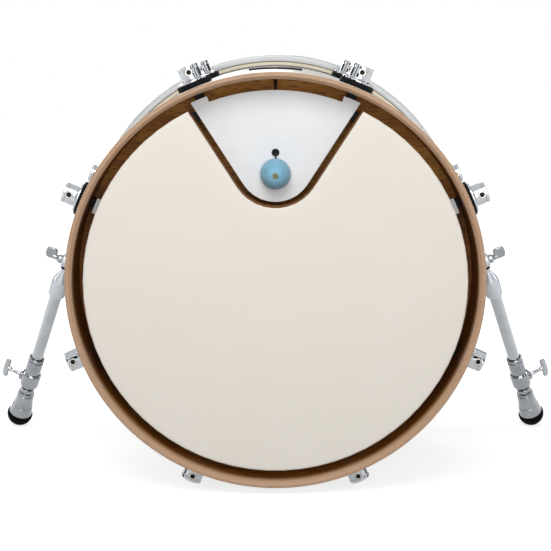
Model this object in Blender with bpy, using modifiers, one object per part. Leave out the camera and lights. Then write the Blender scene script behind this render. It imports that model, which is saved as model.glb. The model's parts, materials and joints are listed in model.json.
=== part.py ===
"""Bass drum on two folding spurs, open on the player's side, with a trigger pad behind a foam disc.

The drum is modelled in its own frame and then tilted back onto its spurs: X is the player's right,
Y runs into the drum from the open lip, Z is up. All sizes are in metres.
"""

import math

import bmesh
import bpy
from mathutils import Matrix, Vector

# Stance: the drum leans on its two lowest batter lugs and on the two rubber tips.
TILT = math.radians(2.5)
LIP_Y = -0.2220
AXIS_Z = 0.2877

# Shell.
SHELL_RADIUS = 0.2788
SHELL_WALL = 0.0082
SHELL_DEPTH = 0.406
EDGE_BEVEL = 0.0039
EDGE_ROUND = 0.0008
WRAP_WALL = 0.0006
WRAP_MARGIN = 0.003
ROUND_STEPS = 72
GAP = 0.0003

# Eight tuning stations on each side.
STATIONS = 8
FIRST_STATION = 22.5
TRIGGER_STATIONS = (67.5, 112.5)
BATTER_ROW = 0.0635
RESONANT_ROW = SHELL_DEPTH - BATTER_ROW
LUG_TOP = 0.3092
LUG_RADIUS = 0.0145
LUG_FLANGE_RADIUS = 0.0215
LUG_FLANGE = 0.003
LUG_CHAMFER = 0.0012
LUG_STEPS = 14
GASKET_RADIUS = 0.0237
GASKET_WALL = 0.0055
ROD_CIRCLE = 0.3006
ROD_BORE = 0.0031
BORE_STEPS = 10

# Baffle board, and the mounting ring in front of it with a block and a post at each station.
BOARD_RADIUS = 0.2700
BOARD_FRONT = 0.0770
BOARD_BACK = 0.0860
CABLE_SLOT = (0.0050, 0.2630)
BLOCK_WIDTH = 0.0125
BLOCK_OUTER = 0.2697
BLOCK_INNER = 0.2450
BLOCK_FRONT = 0.0600
BLOCK_BACK = 0.0760
RING_INNER = 0.2360
RING_OUTER = 0.2500
RING_FRONT = 0.0494
RING_BACK = 0.0680
POST_RADIUS = 0.0035
POST_CIRCLE = 0.2580

# Foam disc on its plate, and the trigger plate in the foam's notch. Ears reach over the blocks.
FOAM_RADIUS = 0.2555
FOAM_BACK = 0.0467
FOAM_FRONT = 0.0004
NOTCH_APEX = 0.0516
NOTCH_ROUND = 0.060
PLATE_RADIUS = 0.2552
PLATE_APEX = 0.0640
PLATE_ROUND = 0.0507
PLATE_FRONT = 0.0362
PLATE_BACK = 0.0386
NOTCH_HALF_ANGLE = math.radians(32.8)
EAR_RADIUS = 0.2632
EAR_WIDTH = 0.0215
CARRIER_RADIUS = 0.2535
CARRIER_APEX = 0.0480
CARRIER_FRONT = 0.0470
CARRIER_BACK = 0.0490
CONE_HEIGHT_ABOVE_AXIS = 0.1448
CONE_RADIUS = 0.0203
CONE_TIP_RADIUS = 0.0040
CONE_TIP_FRONT = 0.0004
CONE_TIP_WALL = 0.0022
CONE_BRIM = 0.0040
CONE_SHOULDER = (0.0163, 0.0140)
CONE_CROWN = (0.0075, 0.0060)
CUP_WALL = 0.0022
PIEZO_RADIUS = 0.0135
PIEZO_WALL = 0.0006
GROMMET_HEIGHT = 0.1730
GROMMET_RADIUS = 0.0052
GROMMET_NECK = 0.0037
GROMMET_BORE = 0.0022
GROMMET_WALL = 0.0012
WIRE_HOLE = 0.0040
CABLE_RADIUS = 0.0018
CABLE_POINTS = 40
CABLE_ROUTE = (
    (0.0424, 0.1740),
    (0.0432, 0.1880),
    (0.0432, 0.2150),
    (0.0432, 0.2400),
    (0.0450, 0.2530),
    (0.0520, 0.2640),
    (0.0700, 0.2672),
    (0.1000, 0.2672),
    (0.1500, 0.2655),
    (0.1800, 0.2610),
    (0.1930, 0.2570),
)

# Output jack on top of the shell, in a curved plate at the middle of its depth.
JACK_ROW = 0.203
JACK_PLATE_SIZE = (0.076, 0.044)
JACK_PLATE_RADIUS = 0.2822
JACK_HOLE = 0.0066
JACK_NECK = 0.0062
JACK_BORE = 0.0040
JACK_BORE_DEPTH = 0.0269
JACK_TOP = 0.2826
JACK_SHOULDER = 0.2697
JACK_BODY = (0.0090, 0.0250)

# Resonant side.
HOOP_RADIUS = 0.2975
HOOP_NEAR = 0.388
HOOP_FAR = 0.426
HOOP_GROOVE_RADIUS = 0.2875
HOOP_LIP_RADIUS = 0.2835
HOOP_LIP_NEAR = 0.4115
FLESH_INNER = 0.2816
FLESH_OUTER = 0.2871
FLESH_NEAR = 0.3915
FLESH_FAR = 0.4090
HOOP_CHAMFER = 0.0015
HEAD_FILM = 0.0005
HEAD_COLLAR = (0.0020, 0.0025)
HEAD_SKIRT = 0.3960
CLAW_WIDTH = 0.020
CLAW_INNER = 0.2870
CLAW_OUTER = 0.3085
CLAW_WALL = 0.0032
CLAW_SINK = 0.0002
CLAW_BOSS = (0.0140, 0.2965)
CLAW_BORE = 0.0031
CLAW_NEAR = 0.4100
ROD_RADIUS = 0.0027
ROD_HEAD_RADIUS = 0.0060
ROD_HEAD = 0.0025
ROD_KEY = (0.0062, 0.0090)
ROD_NEAR = 0.3200

# Spurs. The leg runs from the pivot to the middle of the rubber tip's dome.
PIVOT = Vector((0.320, 0.300, -0.014))
LEG_DIRECTION = Vector((0.3210, 0.3910, -0.8626)).normalized()
SPUR_FLANGE_RADIUS = 0.026
SPUR_FLANGE = 0.006
SPUR_GASKET_RADIUS = 0.028
SPUR_GASKET = 0.003
BOSS_RADIUS = 0.0095
BOSS_BORE = 0.0038
BOSS_DEPTH = 0.0395
SWIVEL_RADIUS = 0.0110
SWIVEL_HALF = 0.0070
SWIVEL_BORE = 0.0040
NECK_RADIUS = 0.0045
NECK_START = 0.0085
NECK_END = 0.0205
SHOULDER_RADIUS = 0.0130
SHOULDER_START = 0.0372
SHOULDER_END = 0.0665
TUBE_RADIUS = 0.0094
TUBE_BORE = 0.0070
TUBE_START = 0.0580
TUBE_END = 0.2120
COLLAR_START = 0.1950
COLLAR_END = 0.2570
COLLAR_RADIUS = 0.0125
COLLAR_MOUTH = 0.0105
KNUCKLE_RADIUS = 0.0150
KNUCKLE_START = 0.2300
KNUCKLE_END = 0.2515
RODLET_RADIUS = 0.0060
RODLET_START = 0.0850
RODLET_END = 0.2760
CONE_START = 0.2600
CONE_END = 0.3130
CONE_NECK = 0.0106
CONE_WAIST = 0.0133
CONE_WAIST_AT = 0.2810
CONE_RIM = 0.0185
TIP_RADIUS = 0.0205
TIP_FLAT = 0.0007

# The T-bolt that clamps the leg, and the wing bolt that clamps the swivel.
TEE_AT = 0.2426
TEE_TWIST = math.radians(12.0)
TEE_BOSS_RADIUS = 0.0075
TEE_BOSS_END = 0.0190
TEE_SHANK = 0.0030
TEE_HOLE = 0.0034
TEE_REACH = 0.0385
TEE_LENGTH = 0.034
TEE_WIDTH = 0.0070
WING_SHANK = 0.0034
WING_HUB = 0.0070
WING_RADIUS = 0.0098
WING_WALL = 0.0044
WING_REACH = 0.0255
WING_OFFSET = 0.0053
THREAD_DEPTH = 0.0140
SPUR_STEPS = 16


def clear_scene():
    """Removes what is in the file and returns the collections for the parts and for the cutters."""
    for old in list(bpy.data.objects):
        bpy.data.objects.remove(old)
    made = []
    for name in ("bass_drum", "cutters"):
        collection = bpy.data.collections.new(name)
        bpy.context.scene.collection.children.link(collection)
        made.append(collection)
    return made


PARTS, CUTTERS = clear_scene()
FRAME_OF = {}


def material(name, color, roughness, metallic=0.0):
    made = bpy.data.materials.new(name)
    made.use_nodes = True
    shader = made.node_tree.nodes["Principled BSDF"]
    shader.inputs["Base Color"].default_value = (*color, 1.0)
    shader.inputs["Roughness"].default_value = roughness
    shader.inputs["Metallic"].default_value = metallic
    return made


def empty(name, matrix, parent=None):
    """An empty that carries pieces. Its matrix is given in the drum's frame."""
    made = bpy.data.objects.new(name, None)
    PARTS.objects.link(made)
    FRAME_OF[name] = matrix
    if parent is None:
        made.matrix_basis = matrix
        FRAME_OF[name] = Matrix.Identity(4)
    else:
        made.parent = parent
        made.matrix_basis = FRAME_OF[parent.name].inverted() @ matrix
    return made


def stance():
    return Matrix.Translation((0.0, LIP_Y, AXIS_Z)) @ Matrix.Rotation(TILT, 4, "X")


DRUM = empty("drum_axis", stance())

# Turns a profile of (radius, depth) about the drum's own axis.
AXIAL = Matrix.Rotation(math.radians(-90.0), 4, "X")
CROSSWISE = Matrix.Rotation(math.radians(90.0), 4, "Y")


def frame(origin, x_axis, z_axis):
    """A right-handed frame from its origin, X and Z directions."""
    z_axis = z_axis.normalized()
    y_axis = z_axis.cross(x_axis).normalized()
    x_axis = y_axis.cross(z_axis)
    turn = Matrix((x_axis, y_axis, z_axis)).transposed().to_4x4()
    return Matrix.Translation(origin) @ turn


def radial_frame(angle, depth, radius=0.0):
    """Z points out of the shell at this angle in degrees, Y points into the drum."""
    turn = math.radians(angle)
    out = Vector((math.cos(turn), 0.0, math.sin(turn)))
    across = Vector((0.0, 1.0, 0.0)).cross(out)
    return frame(out * radius + Vector((0.0, depth, 0.0)), across, out)


def station_angles():
    return [FIRST_STATION + 360.0 / STATIONS * index for index in range(STATIONS)]


def add(name, mesh, matrix, parent, look=None):
    """Adds a mesh as a part, or as a cutter where it has no material."""
    made = bpy.data.objects.new(name, mesh)
    if look is None:
        CUTTERS.objects.link(made)
        made.hide_render = True
        made.display_type = "WIRE"
    else:
        PARTS.objects.link(made)
        mesh.materials.clear()
        mesh.materials.append(look)
    made.parent = parent
    made.matrix_basis = FRAME_OF[parent.name].inverted() @ matrix
    return made


def smooth(mesh, degrees=40.0):
    mesh.shade_smooth()
    mesh.set_sharp_from_angle(angle=math.radians(degrees))
    return mesh


def turned(profile, steps, closed=False):
    """A mesh turned about Z from (radius, height) points that run down the outer side."""
    outline = bpy.data.meshes.new("profile")
    points = [(radius, 0.0, height) for radius, height in profile]
    edges = [(index, index + 1) for index in range(len(points) - 1)]
    if closed:
        edges.append((len(points) - 1, 0))
    outline.from_pydata(points, edges, [])
    holder = bpy.data.objects.new("profile", outline)
    bpy.context.scene.collection.objects.link(holder)
    screw = holder.modifiers.new("Screw", "SCREW")
    screw.steps = steps
    screw.render_steps = steps
    screw.use_merge_vertices = True
    screw.merge_threshold = 0.00002
    screw.use_smooth_shade = False
    mesh = evaluated(holder)
    bpy.data.objects.remove(holder)
    return smooth(mesh)


def evaluated(holder):
    bpy.context.view_layer.update()
    return bpy.data.meshes.new_from_object(holder.evaluated_get(bpy.context.evaluated_depsgraph_get()))


def box(size, center=(0.0, 0.0, 0.0)):
    mesh = bpy.data.meshes.new("box")
    bm = bmesh.new()
    bmesh.ops.create_cube(bm, size=1.0, matrix=Matrix.Translation(center) @ Matrix.Diagonal((*size, 1.0)))
    bm.to_mesh(mesh)
    bm.free()
    return mesh


def rod(radius, low, high, steps=12):
    """A plain cylinder along Z between two heights."""
    return turned([(0.0, high), (radius, high), (radius, low), (0.0, low)], steps)


def merged(*pieces):
    """One mesh that holds each (mesh, matrix) as a separate body."""
    mesh = bpy.data.meshes.new("merged")
    bm = bmesh.new()
    for piece, matrix in pieces:
        moved = piece.copy()
        moved.transform(matrix)
        bm.from_mesh(moved)
        bpy.data.meshes.remove(moved)
    bm.to_mesh(mesh)
    bm.free()
    return smooth(mesh)


def repeated(mesh, matrices):
    return merged(*[(mesh, matrix) for matrix in matrices])


def boolean(target, cutter, operation="DIFFERENCE"):
    step = target.modifiers.new(operation.title(), "BOOLEAN")
    step.operation = operation
    step.object = cutter
    step.solver = "EXACT"
    return target


def cut_mesh(mesh, cutter_mesh, operation="DIFFERENCE"):
    """The mesh after one Boolean with another mesh in the same frame."""
    holders = []
    for part in (mesh, cutter_mesh):
        holder = bpy.data.objects.new("holder", part)
        bpy.context.scene.collection.objects.link(holder)
        holders.append(holder)
    boolean(holders[0], holders[1], operation)
    made = evaluated(holders[0])
    for holder in holders:
        bpy.data.objects.remove(holder)
    return smooth(made)


def outline_plate(points, front, back):
    """A flat piece drawn in the drum's face, between two depths."""
    curve = bpy.data.curves.new("outline", "CURVE")
    curve.dimensions = "2D"
    curve.fill_mode = "BOTH"
    curve.extrude = (back - front) / 2.0
    line = curve.splines.new("POLY")
    line.points.add(len(points) - 1)
    for point, (across, up) in zip(line.points, points):
        point.co = (across, up, 0.0, 1.0)
    line.use_cyclic_u = True
    holder = bpy.data.objects.new("outline", curve)
    bpy.context.scene.collection.objects.link(holder)
    mesh = evaluated(holder)
    bpy.data.objects.remove(holder)
    bm = bmesh.new()
    bm.from_mesh(mesh)
    bmesh.ops.remove_doubles(bm, verts=bm.verts, dist=0.00001)
    bmesh.ops.recalc_face_normals(bm, faces=bm.faces)
    bm.to_mesh(mesh)
    bm.free()
    # The curve lies in XY: its Y becomes the drum's Z, and its Z the drum's depth.
    middle = Matrix.Translation((0.0, (front + back) / 2.0, 0.0))
    mesh.transform(middle @ Matrix.Rotation(math.radians(90.0), 4, "X"))
    return smooth(mesh)


def arc(center, radius, start, end, count):
    """Points on an arc, angles in radians."""
    points = []
    for index in range(count):
        turn = start + (end - start) * index / (count - 1)
        points.append((center[0] + radius * math.cos(turn), center[1] + radius * math.sin(turn)))
    return points


def notch_arc(apex, fillet, count):
    """The rounded bottom of the V, from its left side to its right side."""
    middle = apex + fillet / math.sin(NOTCH_HALF_ANGLE)
    return arc((0.0, middle), fillet, math.pi + NOTCH_HALF_ANGLE, 2.0 * math.pi - NOTCH_HALF_ANGLE, count)


def side_angle(apex, radius):
    """The polar angle from vertical at which the V's straight side meets a circle about the drum's axis."""
    return NOTCH_HALF_ANGLE - math.asin(apex * math.sin(NOTCH_HALF_ANGLE) / radius)


def looks():
    return {
        "ply": material("ply", (0.48, 0.32, 0.22), 0.5),
        "white_wrap": material("white_wrap", (0.80, 0.79, 0.78), 0.3),
        "board": material("board", (0.14, 0.05, 0.01), 0.6),
        "foam": material("foam", (0.74, 0.69, 0.61), 0.85),
        "white_plate": material("white_plate", (0.78, 0.80, 0.82), 0.45),
        "blue_foam": material("blue_foam", (0.20, 0.44, 0.64), 0.6),
        "tan_felt": material("tan_felt", (0.35, 0.26, 0.14), 0.8),
        "brass": material("brass", (0.60, 0.42, 0.15), 0.35, 1.0),
        "black": material("black_plastic", (0.012, 0.012, 0.012), 0.5),
        "rubber": material("rubber", (0.008, 0.008, 0.008), 0.7),
        "chrome": material("chrome", (0.75, 0.76, 0.78), 0.12, 1.0),
        "steel": material("steel", (0.45, 0.45, 0.46), 0.35, 1.0),
        "hoop": material("hoop_paint", (0.62, 0.68, 0.69), 0.35),
        "flesh": material("flesh_ring", (0.43, 0.37, 0.30), 0.5),
        "film": material("head_film", (0.82, 0.82, 0.80), 0.5),
    }


LOOK = looks()
SIDES = (("left", -1.0), ("right", 1.0))


def mirrored(point, side):
    return Vector((point[0] * side, point[1], point[2]))


def spur_frames(side):
    """The pivot frame (Z outward along the pivot), the leg frame (Z up the leg) and the base frame."""
    pivot = mirrored(PIVOT, side)
    leg = mirrored(LEG_DIRECTION, side)
    outward = Vector((-leg.z, 0.0, leg.x)).normalized() * side
    if outward.z < 0.0:
        outward = -outward
    along = frame(pivot, leg, outward)
    down = frame(pivot, outward, -leg)
    reach = SHELL_RADIUS + WRAP_WALL
    foot_angle = base_angle(pivot, outward, reach)
    base = radial_frame(foot_angle, pivot.y)
    return along, down, base


def base_angle(pivot, outward, reach):
    """The angle in degrees at which the pivot line meets the shell."""
    flat = Vector((pivot.x, pivot.z))
    way = Vector((outward.x, outward.z))
    half = flat.dot(way)
    step = half - math.sqrt(half * half - flat.length_squared + reach * reach)
    meet = flat - way * step
    return math.degrees(math.atan2(meet.y, meet.x))


def dome_center_distance():
    """How far down the leg the middle of the dome is, so that the tip's flat lies on the floor."""
    lift = AXIS_Z + PIVOT.y * math.sin(TILT) + PIVOT.z * math.cos(TILT)
    fall = -(LEG_DIRECTION.y * math.sin(TILT) + LEG_DIRECTION.z * math.cos(TILT))
    return (lift - (TIP_RADIUS - TIP_FLAT)) / fall


def make_shell():
    inner = SHELL_RADIUS - SHELL_WALL
    crest = SHELL_RADIUS - EDGE_ROUND
    profile = [
        (SHELL_RADIUS, SHELL_DEPTH - EDGE_ROUND),
        (SHELL_RADIUS, EDGE_ROUND),
        (crest, 0.0),
        (inner + EDGE_BEVEL, 0.0),
        (inner, EDGE_BEVEL),
        (inner, SHELL_DEPTH - EDGE_BEVEL),
        (inner + EDGE_BEVEL, SHELL_DEPTH),
        (crest, SHELL_DEPTH),
    ]
    hole = rod(JACK_HOLE, inner - SHELL_WALL, SHELL_RADIUS + SHELL_WALL)
    holes = add("jack_hole", hole, Matrix.Translation((0.0, JACK_ROW, 0.0)), DRUM)
    shell = add("shell", turned(profile, ROUND_STEPS, closed=True), AXIAL, DRUM, LOOK["ply"])
    boolean(shell, holes)
    low = SHELL_RADIUS + GAP
    high = low + WRAP_WALL
    end = SHELL_DEPTH - 2.0 * WRAP_MARGIN
    outline = [(high, end), (high, WRAP_MARGIN), (low, WRAP_MARGIN), (low, end)]
    wrap = add("wrap", turned(outline, ROUND_STEPS, closed=True), AXIAL, DRUM, LOOK["white_wrap"])
    boolean(wrap, holes)


def saddle(mesh, height):
    """Lays the vertices at this height onto the cylinder of that radius, which runs along Y."""
    for vertex in mesh.vertices:
        if abs(vertex.co.z - height) < 0.00001:
            vertex.co.z = math.sqrt(height * height - vertex.co.x * vertex.co.x)
    return mesh


def seat_height():
    """Height above the drum's axis at which fittings sit on the wrap."""
    return SHELL_RADIUS + 2.0 * GAP + WRAP_WALL


def lug_mesh():
    """A turret lug on its rubber gasket, cast in one with its flange, and bored for the tension rod."""
    seat = seat_height()
    flange = seat + GASKET_WALL
    profile = [
        (0.0, LUG_TOP),
        (LUG_RADIUS - LUG_CHAMFER, LUG_TOP),
        (LUG_RADIUS, LUG_TOP - LUG_CHAMFER),
        (LUG_RADIUS, flange + LUG_FLANGE),
        (LUG_FLANGE_RADIUS, flange + LUG_FLANGE),
        (LUG_FLANGE_RADIUS, flange),
        (GASKET_RADIUS, flange),
        (GASKET_RADIUS, seat),
        (GASKET_RADIUS / 2.0, seat),
        (0.0, seat),
    ]
    body = saddle(turned(profile, LUG_STEPS), seat)
    through = rod(ROD_BORE, -GASKET_RADIUS, GASKET_RADIUS, BORE_STEPS)
    through.transform(Matrix.Translation((0.0, 0.0, ROD_CIRCLE)) @ AXIAL)
    return cut_mesh(body, through)


def make_lugs():
    lug = lug_mesh()
    for name, row in (("batter", BATTER_ROW), ("resonant", RESONANT_ROW)):
        for index, angle in enumerate(station_angles()):
            add(f"{name}_lug_{index + 1}", lug.copy(), radial_frame(angle, row), DRUM, LOOK["chrome"])


def make_mounting_ring():
    """The ring behind the foam disc, with a block at each station that reaches out to the shell."""
    outline = [
        (RING_OUTER, RING_BACK),
        (RING_OUTER, RING_FRONT),
        (RING_INNER, RING_FRONT),
        (RING_INNER, RING_BACK),
    ]
    ring = turned(outline, ROUND_STEPS, closed=True)
    ring.transform(AXIAL)
    size = (BLOCK_WIDTH, BLOCK_BACK - BLOCK_FRONT, BLOCK_OUTER - BLOCK_INNER)
    center = (0.0, (BLOCK_BACK + BLOCK_FRONT) / 2.0, (BLOCK_OUTER + BLOCK_INNER) / 2.0)
    blocks = repeated(box(size, center), [radial_frame(angle, 0.0) for angle in station_angles()])
    joined = cut_mesh(ring, blocks, "UNION")
    posts = merged(*[(post_mesh(angle), radial_frame(angle, 0.0)) for angle in station_angles()])
    add("mounting_ring", cut_mesh(joined, posts, "UNION"), Matrix.Identity(4), DRUM, LOOK["black"])


def post_mesh(angle):
    """A post from a block forward to the ear that it holds, in its station's frame."""
    ear_back = PLATE_BACK if angle in TRIGGER_STATIONS else CARRIER_BACK
    post = rod(POST_RADIUS, ear_back + GAP, (BLOCK_FRONT + BLOCK_BACK) / 2.0, BORE_STEPS)
    post.transform(Matrix.Translation((0.0, 0.0, POST_CIRCLE)) @ AXIAL)
    return post


def make_board():
    profile = [(0.0, BOARD_BACK), (BOARD_RADIUS, BOARD_BACK), (BOARD_RADIUS, BOARD_FRONT), (0.0, BOARD_FRONT)]
    board = add("baffle_board", turned(profile, ROUND_STEPS), AXIAL, DRUM, LOOK["board"])
    width, bottom = CABLE_SLOT
    height = 2.0 * (BOARD_RADIUS - bottom)
    middle = (0.0, (BOARD_FRONT + BOARD_BACK) / 2.0, bottom + height / 2.0)
    slot = box((width, 2.0 * (BOARD_BACK - BOARD_FRONT), height), middle)
    boolean(board, add("cable_slot", slot, Matrix.Identity(4), DRUM))


def make_foam():
    turn = side_angle(NOTCH_APEX, FOAM_RADIUS)
    rim = arc((0.0, 0.0), FOAM_RADIUS, math.pi / 2.0 - turn, math.pi / 2.0 + turn - 2.0 * math.pi, 60)
    points = rim + notch_arc(NOTCH_APEX, NOTCH_ROUND, 12)
    add("damping_foam", outline_plate(points, FOAM_FRONT, FOAM_BACK), Matrix.Identity(4), DRUM, LOOK["foam"])


def ear_turns(angle):
    """The polar angles of an ear's two sides, in radians, in rising order."""
    spread = EAR_WIDTH / 2.0 / EAR_RADIUS
    return math.radians(angle) - spread, math.radians(angle) + spread


def make_foam_plate():
    """The plate that carries the foam disc, with an ear at each station but the trigger plate's two."""
    turn = side_angle(CARRIER_APEX, CARRIER_RADIUS)
    place = math.pi / 2.0 - turn
    points = []
    stations = [angle for angle in station_angles() if angle not in TRIGGER_STATIONS]
    clockwise = sorted((angle if angle < 90.0 else angle - 360.0 for angle in stations), reverse=True)
    for angle in clockwise:
        low, high = ear_turns(angle)
        points += arc((0.0, 0.0), CARRIER_RADIUS, place, high, 8)
        points += arc((0.0, 0.0), EAR_RADIUS, high, low, 3)
        place = low
    points += arc((0.0, 0.0), CARRIER_RADIUS, place, math.pi / 2.0 + turn - 2.0 * math.pi, 8)
    points += notch_arc(CARRIER_APEX, NOTCH_ROUND, 12)
    plate = outline_plate(points, CARRIER_FRONT, CARRIER_BACK)
    add("foam_plate", plate, Matrix.Identity(4), DRUM, LOOK["white_plate"])


def plate_outline():
    """The trigger plate: two ears at its corners, an arc between them, and the rounded V below."""
    right = math.pi / 2.0 - side_angle(PLATE_APEX, EAR_RADIUS)
    left = math.pi - right
    step = ear_turns(TRIGGER_STATIONS[0])[1]
    points = arc((0.0, 0.0), EAR_RADIUS, right, step, 3)
    points += arc((0.0, 0.0), PLATE_RADIUS, step, math.pi - step, 13)
    points += arc((0.0, 0.0), EAR_RADIUS, math.pi - step, left, 3)
    return points + notch_arc(PLATE_APEX, PLATE_ROUND, 11)


def make_trigger():
    sheet = outline_plate(plate_outline(), PLATE_FRONT, PLATE_BACK)
    plate = add("trigger_plate", sheet, Matrix.Identity(4), DRUM, LOOK["white_plate"])
    wire_hole = rod(WIRE_HOLE, PLATE_FRONT - CUP_WALL, PLATE_BACK + CUP_WALL)
    at_grommet = Matrix.Translation((0.0, 0.0, GROMMET_HEIGHT)) @ AXIAL
    boolean(plate, add("wire_hole", wire_hole, at_grommet, DRUM))

    flat = PLATE_FRONT - GAP
    end = PLATE_BACK + GROMMET_WALL
    bush = [
        (GROMMET_RADIUS, flat),
        (GROMMET_RADIUS, flat - GROMMET_WALL),
        (GROMMET_BORE, flat - GROMMET_WALL),
        (GROMMET_BORE, end),
        (GROMMET_NECK, end),
        (GROMMET_NECK, flat),
    ]
    add("cable_grommet", turned(bush, 12, closed=True), at_grommet, DRUM, LOOK["black"])

    at_cone = Matrix.Translation((0.0, 0.0, CONE_HEIGHT_ABOVE_AXIS)) @ AXIAL
    cup_front = flat - CUP_WALL
    cup = [(0.0, flat), (CONE_RADIUS, flat), (CONE_RADIUS, cup_front), (0.0, cup_front)]
    add("trigger_cup", turned(cup, 20), at_cone, DRUM, LOOK["blue_foam"])
    foot = cup_front - GAP
    piezo_front = foot - PIEZO_WALL
    piezo = [(0.0, foot), (PIEZO_RADIUS, foot), (PIEZO_RADIUS, piezo_front), (0.0, piezo_front)]
    add("piezo_disc", turned(piezo, 16), at_cone, DRUM, LOOK["brass"])
    tip_back = CONE_TIP_FRONT + CONE_TIP_WALL
    cone = [
        (0.0, piezo_front - GAP),
        (PIEZO_RADIUS + GAP, piezo_front - GAP),
        (PIEZO_RADIUS + GAP, foot),
        (CONE_RADIUS, foot),
        (CONE_RADIUS, foot - CONE_BRIM),
        (CONE_SHOULDER[0], foot - CONE_SHOULDER[1]),
        (CONE_CROWN[0], tip_back + CONE_CROWN[1]),
        (CONE_TIP_RADIUS, tip_back + GAP),
        (0.0, tip_back + GAP),
    ]
    add("trigger_cone", turned(cone, 20), at_cone, DRUM, LOOK["blue_foam"])
    add("cone_tip", rod(CONE_TIP_RADIUS, CONE_TIP_FRONT, tip_back), at_cone, DRUM, LOOK["tan_felt"])


def smooth_route(points, count):
    """Points at even steps of a Catmull-Rom curve through the given ones."""
    padded = [points[0] * 2.0 - points[1], *points, points[-1] * 2.0 - points[-2]]
    spans = len(points) - 1
    route = []
    for index in range(count):
        place = spans * index / (count - 1)
        span = min(int(place), spans - 1)
        t = place - span
        a, b, c, d = padded[span : span + 4]
        bend = 2.0 * a - 5.0 * b + 4.0 * c - d
        twist = 3.0 * b - a - 3.0 * c + d
        route.append(0.5 * (2.0 * b + (c - a) * t + bend * t * t + twist * t * t * t))
    return route


def make_cable():
    """The sensor's lead: up behind the plate from the grommet, through the board's slot, to the jack."""
    route = smooth_route([Vector((0.0, depth, height)) for depth, height in CABLE_ROUTE], CABLE_POINTS)
    curve = bpy.data.curves.new("trigger_cable", "CURVE")
    curve.dimensions = "3D"
    curve.bevel_depth = CABLE_RADIUS
    curve.bevel_resolution = 2
    curve.use_fill_caps = True
    line = curve.splines.new("POLY")
    line.points.add(len(route) - 1)
    for point, place in zip(line.points, route):
        point.co = (*place, 1.0)
    cable = bpy.data.objects.new("trigger_cable", curve)
    PARTS.objects.link(cable)
    curve.materials.append(LOOK["black"])
    cable.parent = DRUM


def make_jack():
    top = Matrix.Translation((0.0, JACK_ROW, 0.0))
    length, depth = JACK_PLATE_SIZE
    front = JACK_ROW - depth / 2.0
    back = JACK_ROW + depth / 2.0
    seat = seat_height()
    outline = [(JACK_PLATE_RADIUS, back), (JACK_PLATE_RADIUS, front), (seat, front), (seat, back)]
    ring = turned(outline, ROUND_STEPS, closed=True)
    ring.transform(AXIAL)
    window = box((length, 2.0 * depth, seat), (0.0, JACK_ROW, seat))
    plate = add("jack_plate", cut_mesh(ring, window, "INTERSECT"), Matrix.Identity(4), DRUM, LOOK["black"])
    boolean(plate, add("jack_plate_hole", rod(JACK_HOLE, JACK_SHOULDER, JACK_TOP + depth), top, DRUM))
    width, height = JACK_BODY
    profile = [
        (0.0, JACK_TOP - JACK_BORE_DEPTH),
        (JACK_BORE, JACK_TOP - JACK_BORE_DEPTH),
        (JACK_BORE, JACK_TOP),
        (JACK_NECK, JACK_TOP),
        (JACK_NECK, JACK_SHOULDER),
        (width, JACK_SHOULDER),
        (width, JACK_SHOULDER - height),
        (0.0, JACK_SHOULDER - height),
    ]
    add("output_jack", turned(profile, 16), top, DRUM, LOOK["steel"])


def make_resonant_side():
    hoop = [
        (HOOP_RADIUS, HOOP_FAR - HOOP_CHAMFER),
        (HOOP_RADIUS, HOOP_NEAR + HOOP_CHAMFER),
        (HOOP_RADIUS - HOOP_CHAMFER, HOOP_NEAR),
        (HOOP_GROOVE_RADIUS, HOOP_NEAR),
        (HOOP_GROOVE_RADIUS, HOOP_LIP_NEAR),
        (HOOP_LIP_RADIUS, HOOP_LIP_NEAR),
        (HOOP_LIP_RADIUS, HOOP_FAR),
        (HOOP_RADIUS - HOOP_CHAMFER, HOOP_FAR),
    ]
    band = turned(hoop, ROUND_STEPS, closed=True)
    band.transform(AXIAL)
    claws = repeated(claw_mesh(), [radial_frame(angle, 0.0) for angle in station_angles()])
    add("resonant_hoop", cut_mesh(band, claws, "UNION"), Matrix.Identity(4), DRUM, LOOK["hoop"])
    ring = [
        (FLESH_OUTER, FLESH_FAR),
        (FLESH_OUTER, FLESH_NEAR),
        (FLESH_INNER, FLESH_NEAR),
        (FLESH_INNER, FLESH_FAR),
    ]
    add("flesh_hoop", turned(ring, ROUND_STEPS, closed=True), AXIAL, DRUM, LOOK["flesh"])
    low = SHELL_DEPTH + GAP
    inner, outer = (SHELL_RADIUS + spread for spread in HEAD_COLLAR)
    skirt_inner = inner - HEAD_FILM
    film = [
        (0.0, low + HEAD_FILM),
        (SHELL_RADIUS, low + HEAD_FILM),
        (inner, low - GAP),
        (outer, HEAD_SKIRT),
        (inner, HEAD_SKIRT),
        (skirt_inner, low - 2.0 * GAP),
        (SHELL_RADIUS - HEAD_FILM, low),
        (0.0, low),
    ]
    add("resonant_head", turned(film, ROUND_STEPS), AXIAL, DRUM, LOOK["film"])


def claw_mesh():
    """A claw in its station's frame: the hook lies on the hoop's far edge, the boss carries the rod."""
    face = HOOP_FAR - CLAW_SINK
    end = face + CLAW_WALL
    hook_size = (CLAW_WIDTH, CLAW_WALL, CLAW_OUTER - CLAW_INNER)
    hook = box(hook_size, (0.0, (face + end) / 2.0, (CLAW_OUTER + CLAW_INNER) / 2.0))
    width, low = CLAW_BOSS
    boss_size = (width, end - CLAW_NEAR, CLAW_OUTER - low)
    boss = box(boss_size, (0.0, (end + CLAW_NEAR) / 2.0, (CLAW_OUTER + low) / 2.0))
    joined = cut_mesh(hook, boss, "UNION")
    hole = rod(CLAW_BORE, CLAW_NEAR - CLAW_WALL, end + CLAW_WALL, BORE_STEPS)
    hole.transform(Matrix.Translation((0.0, 0.0, ROD_CIRCLE)) @ AXIAL)
    return cut_mesh(joined, hole)


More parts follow.
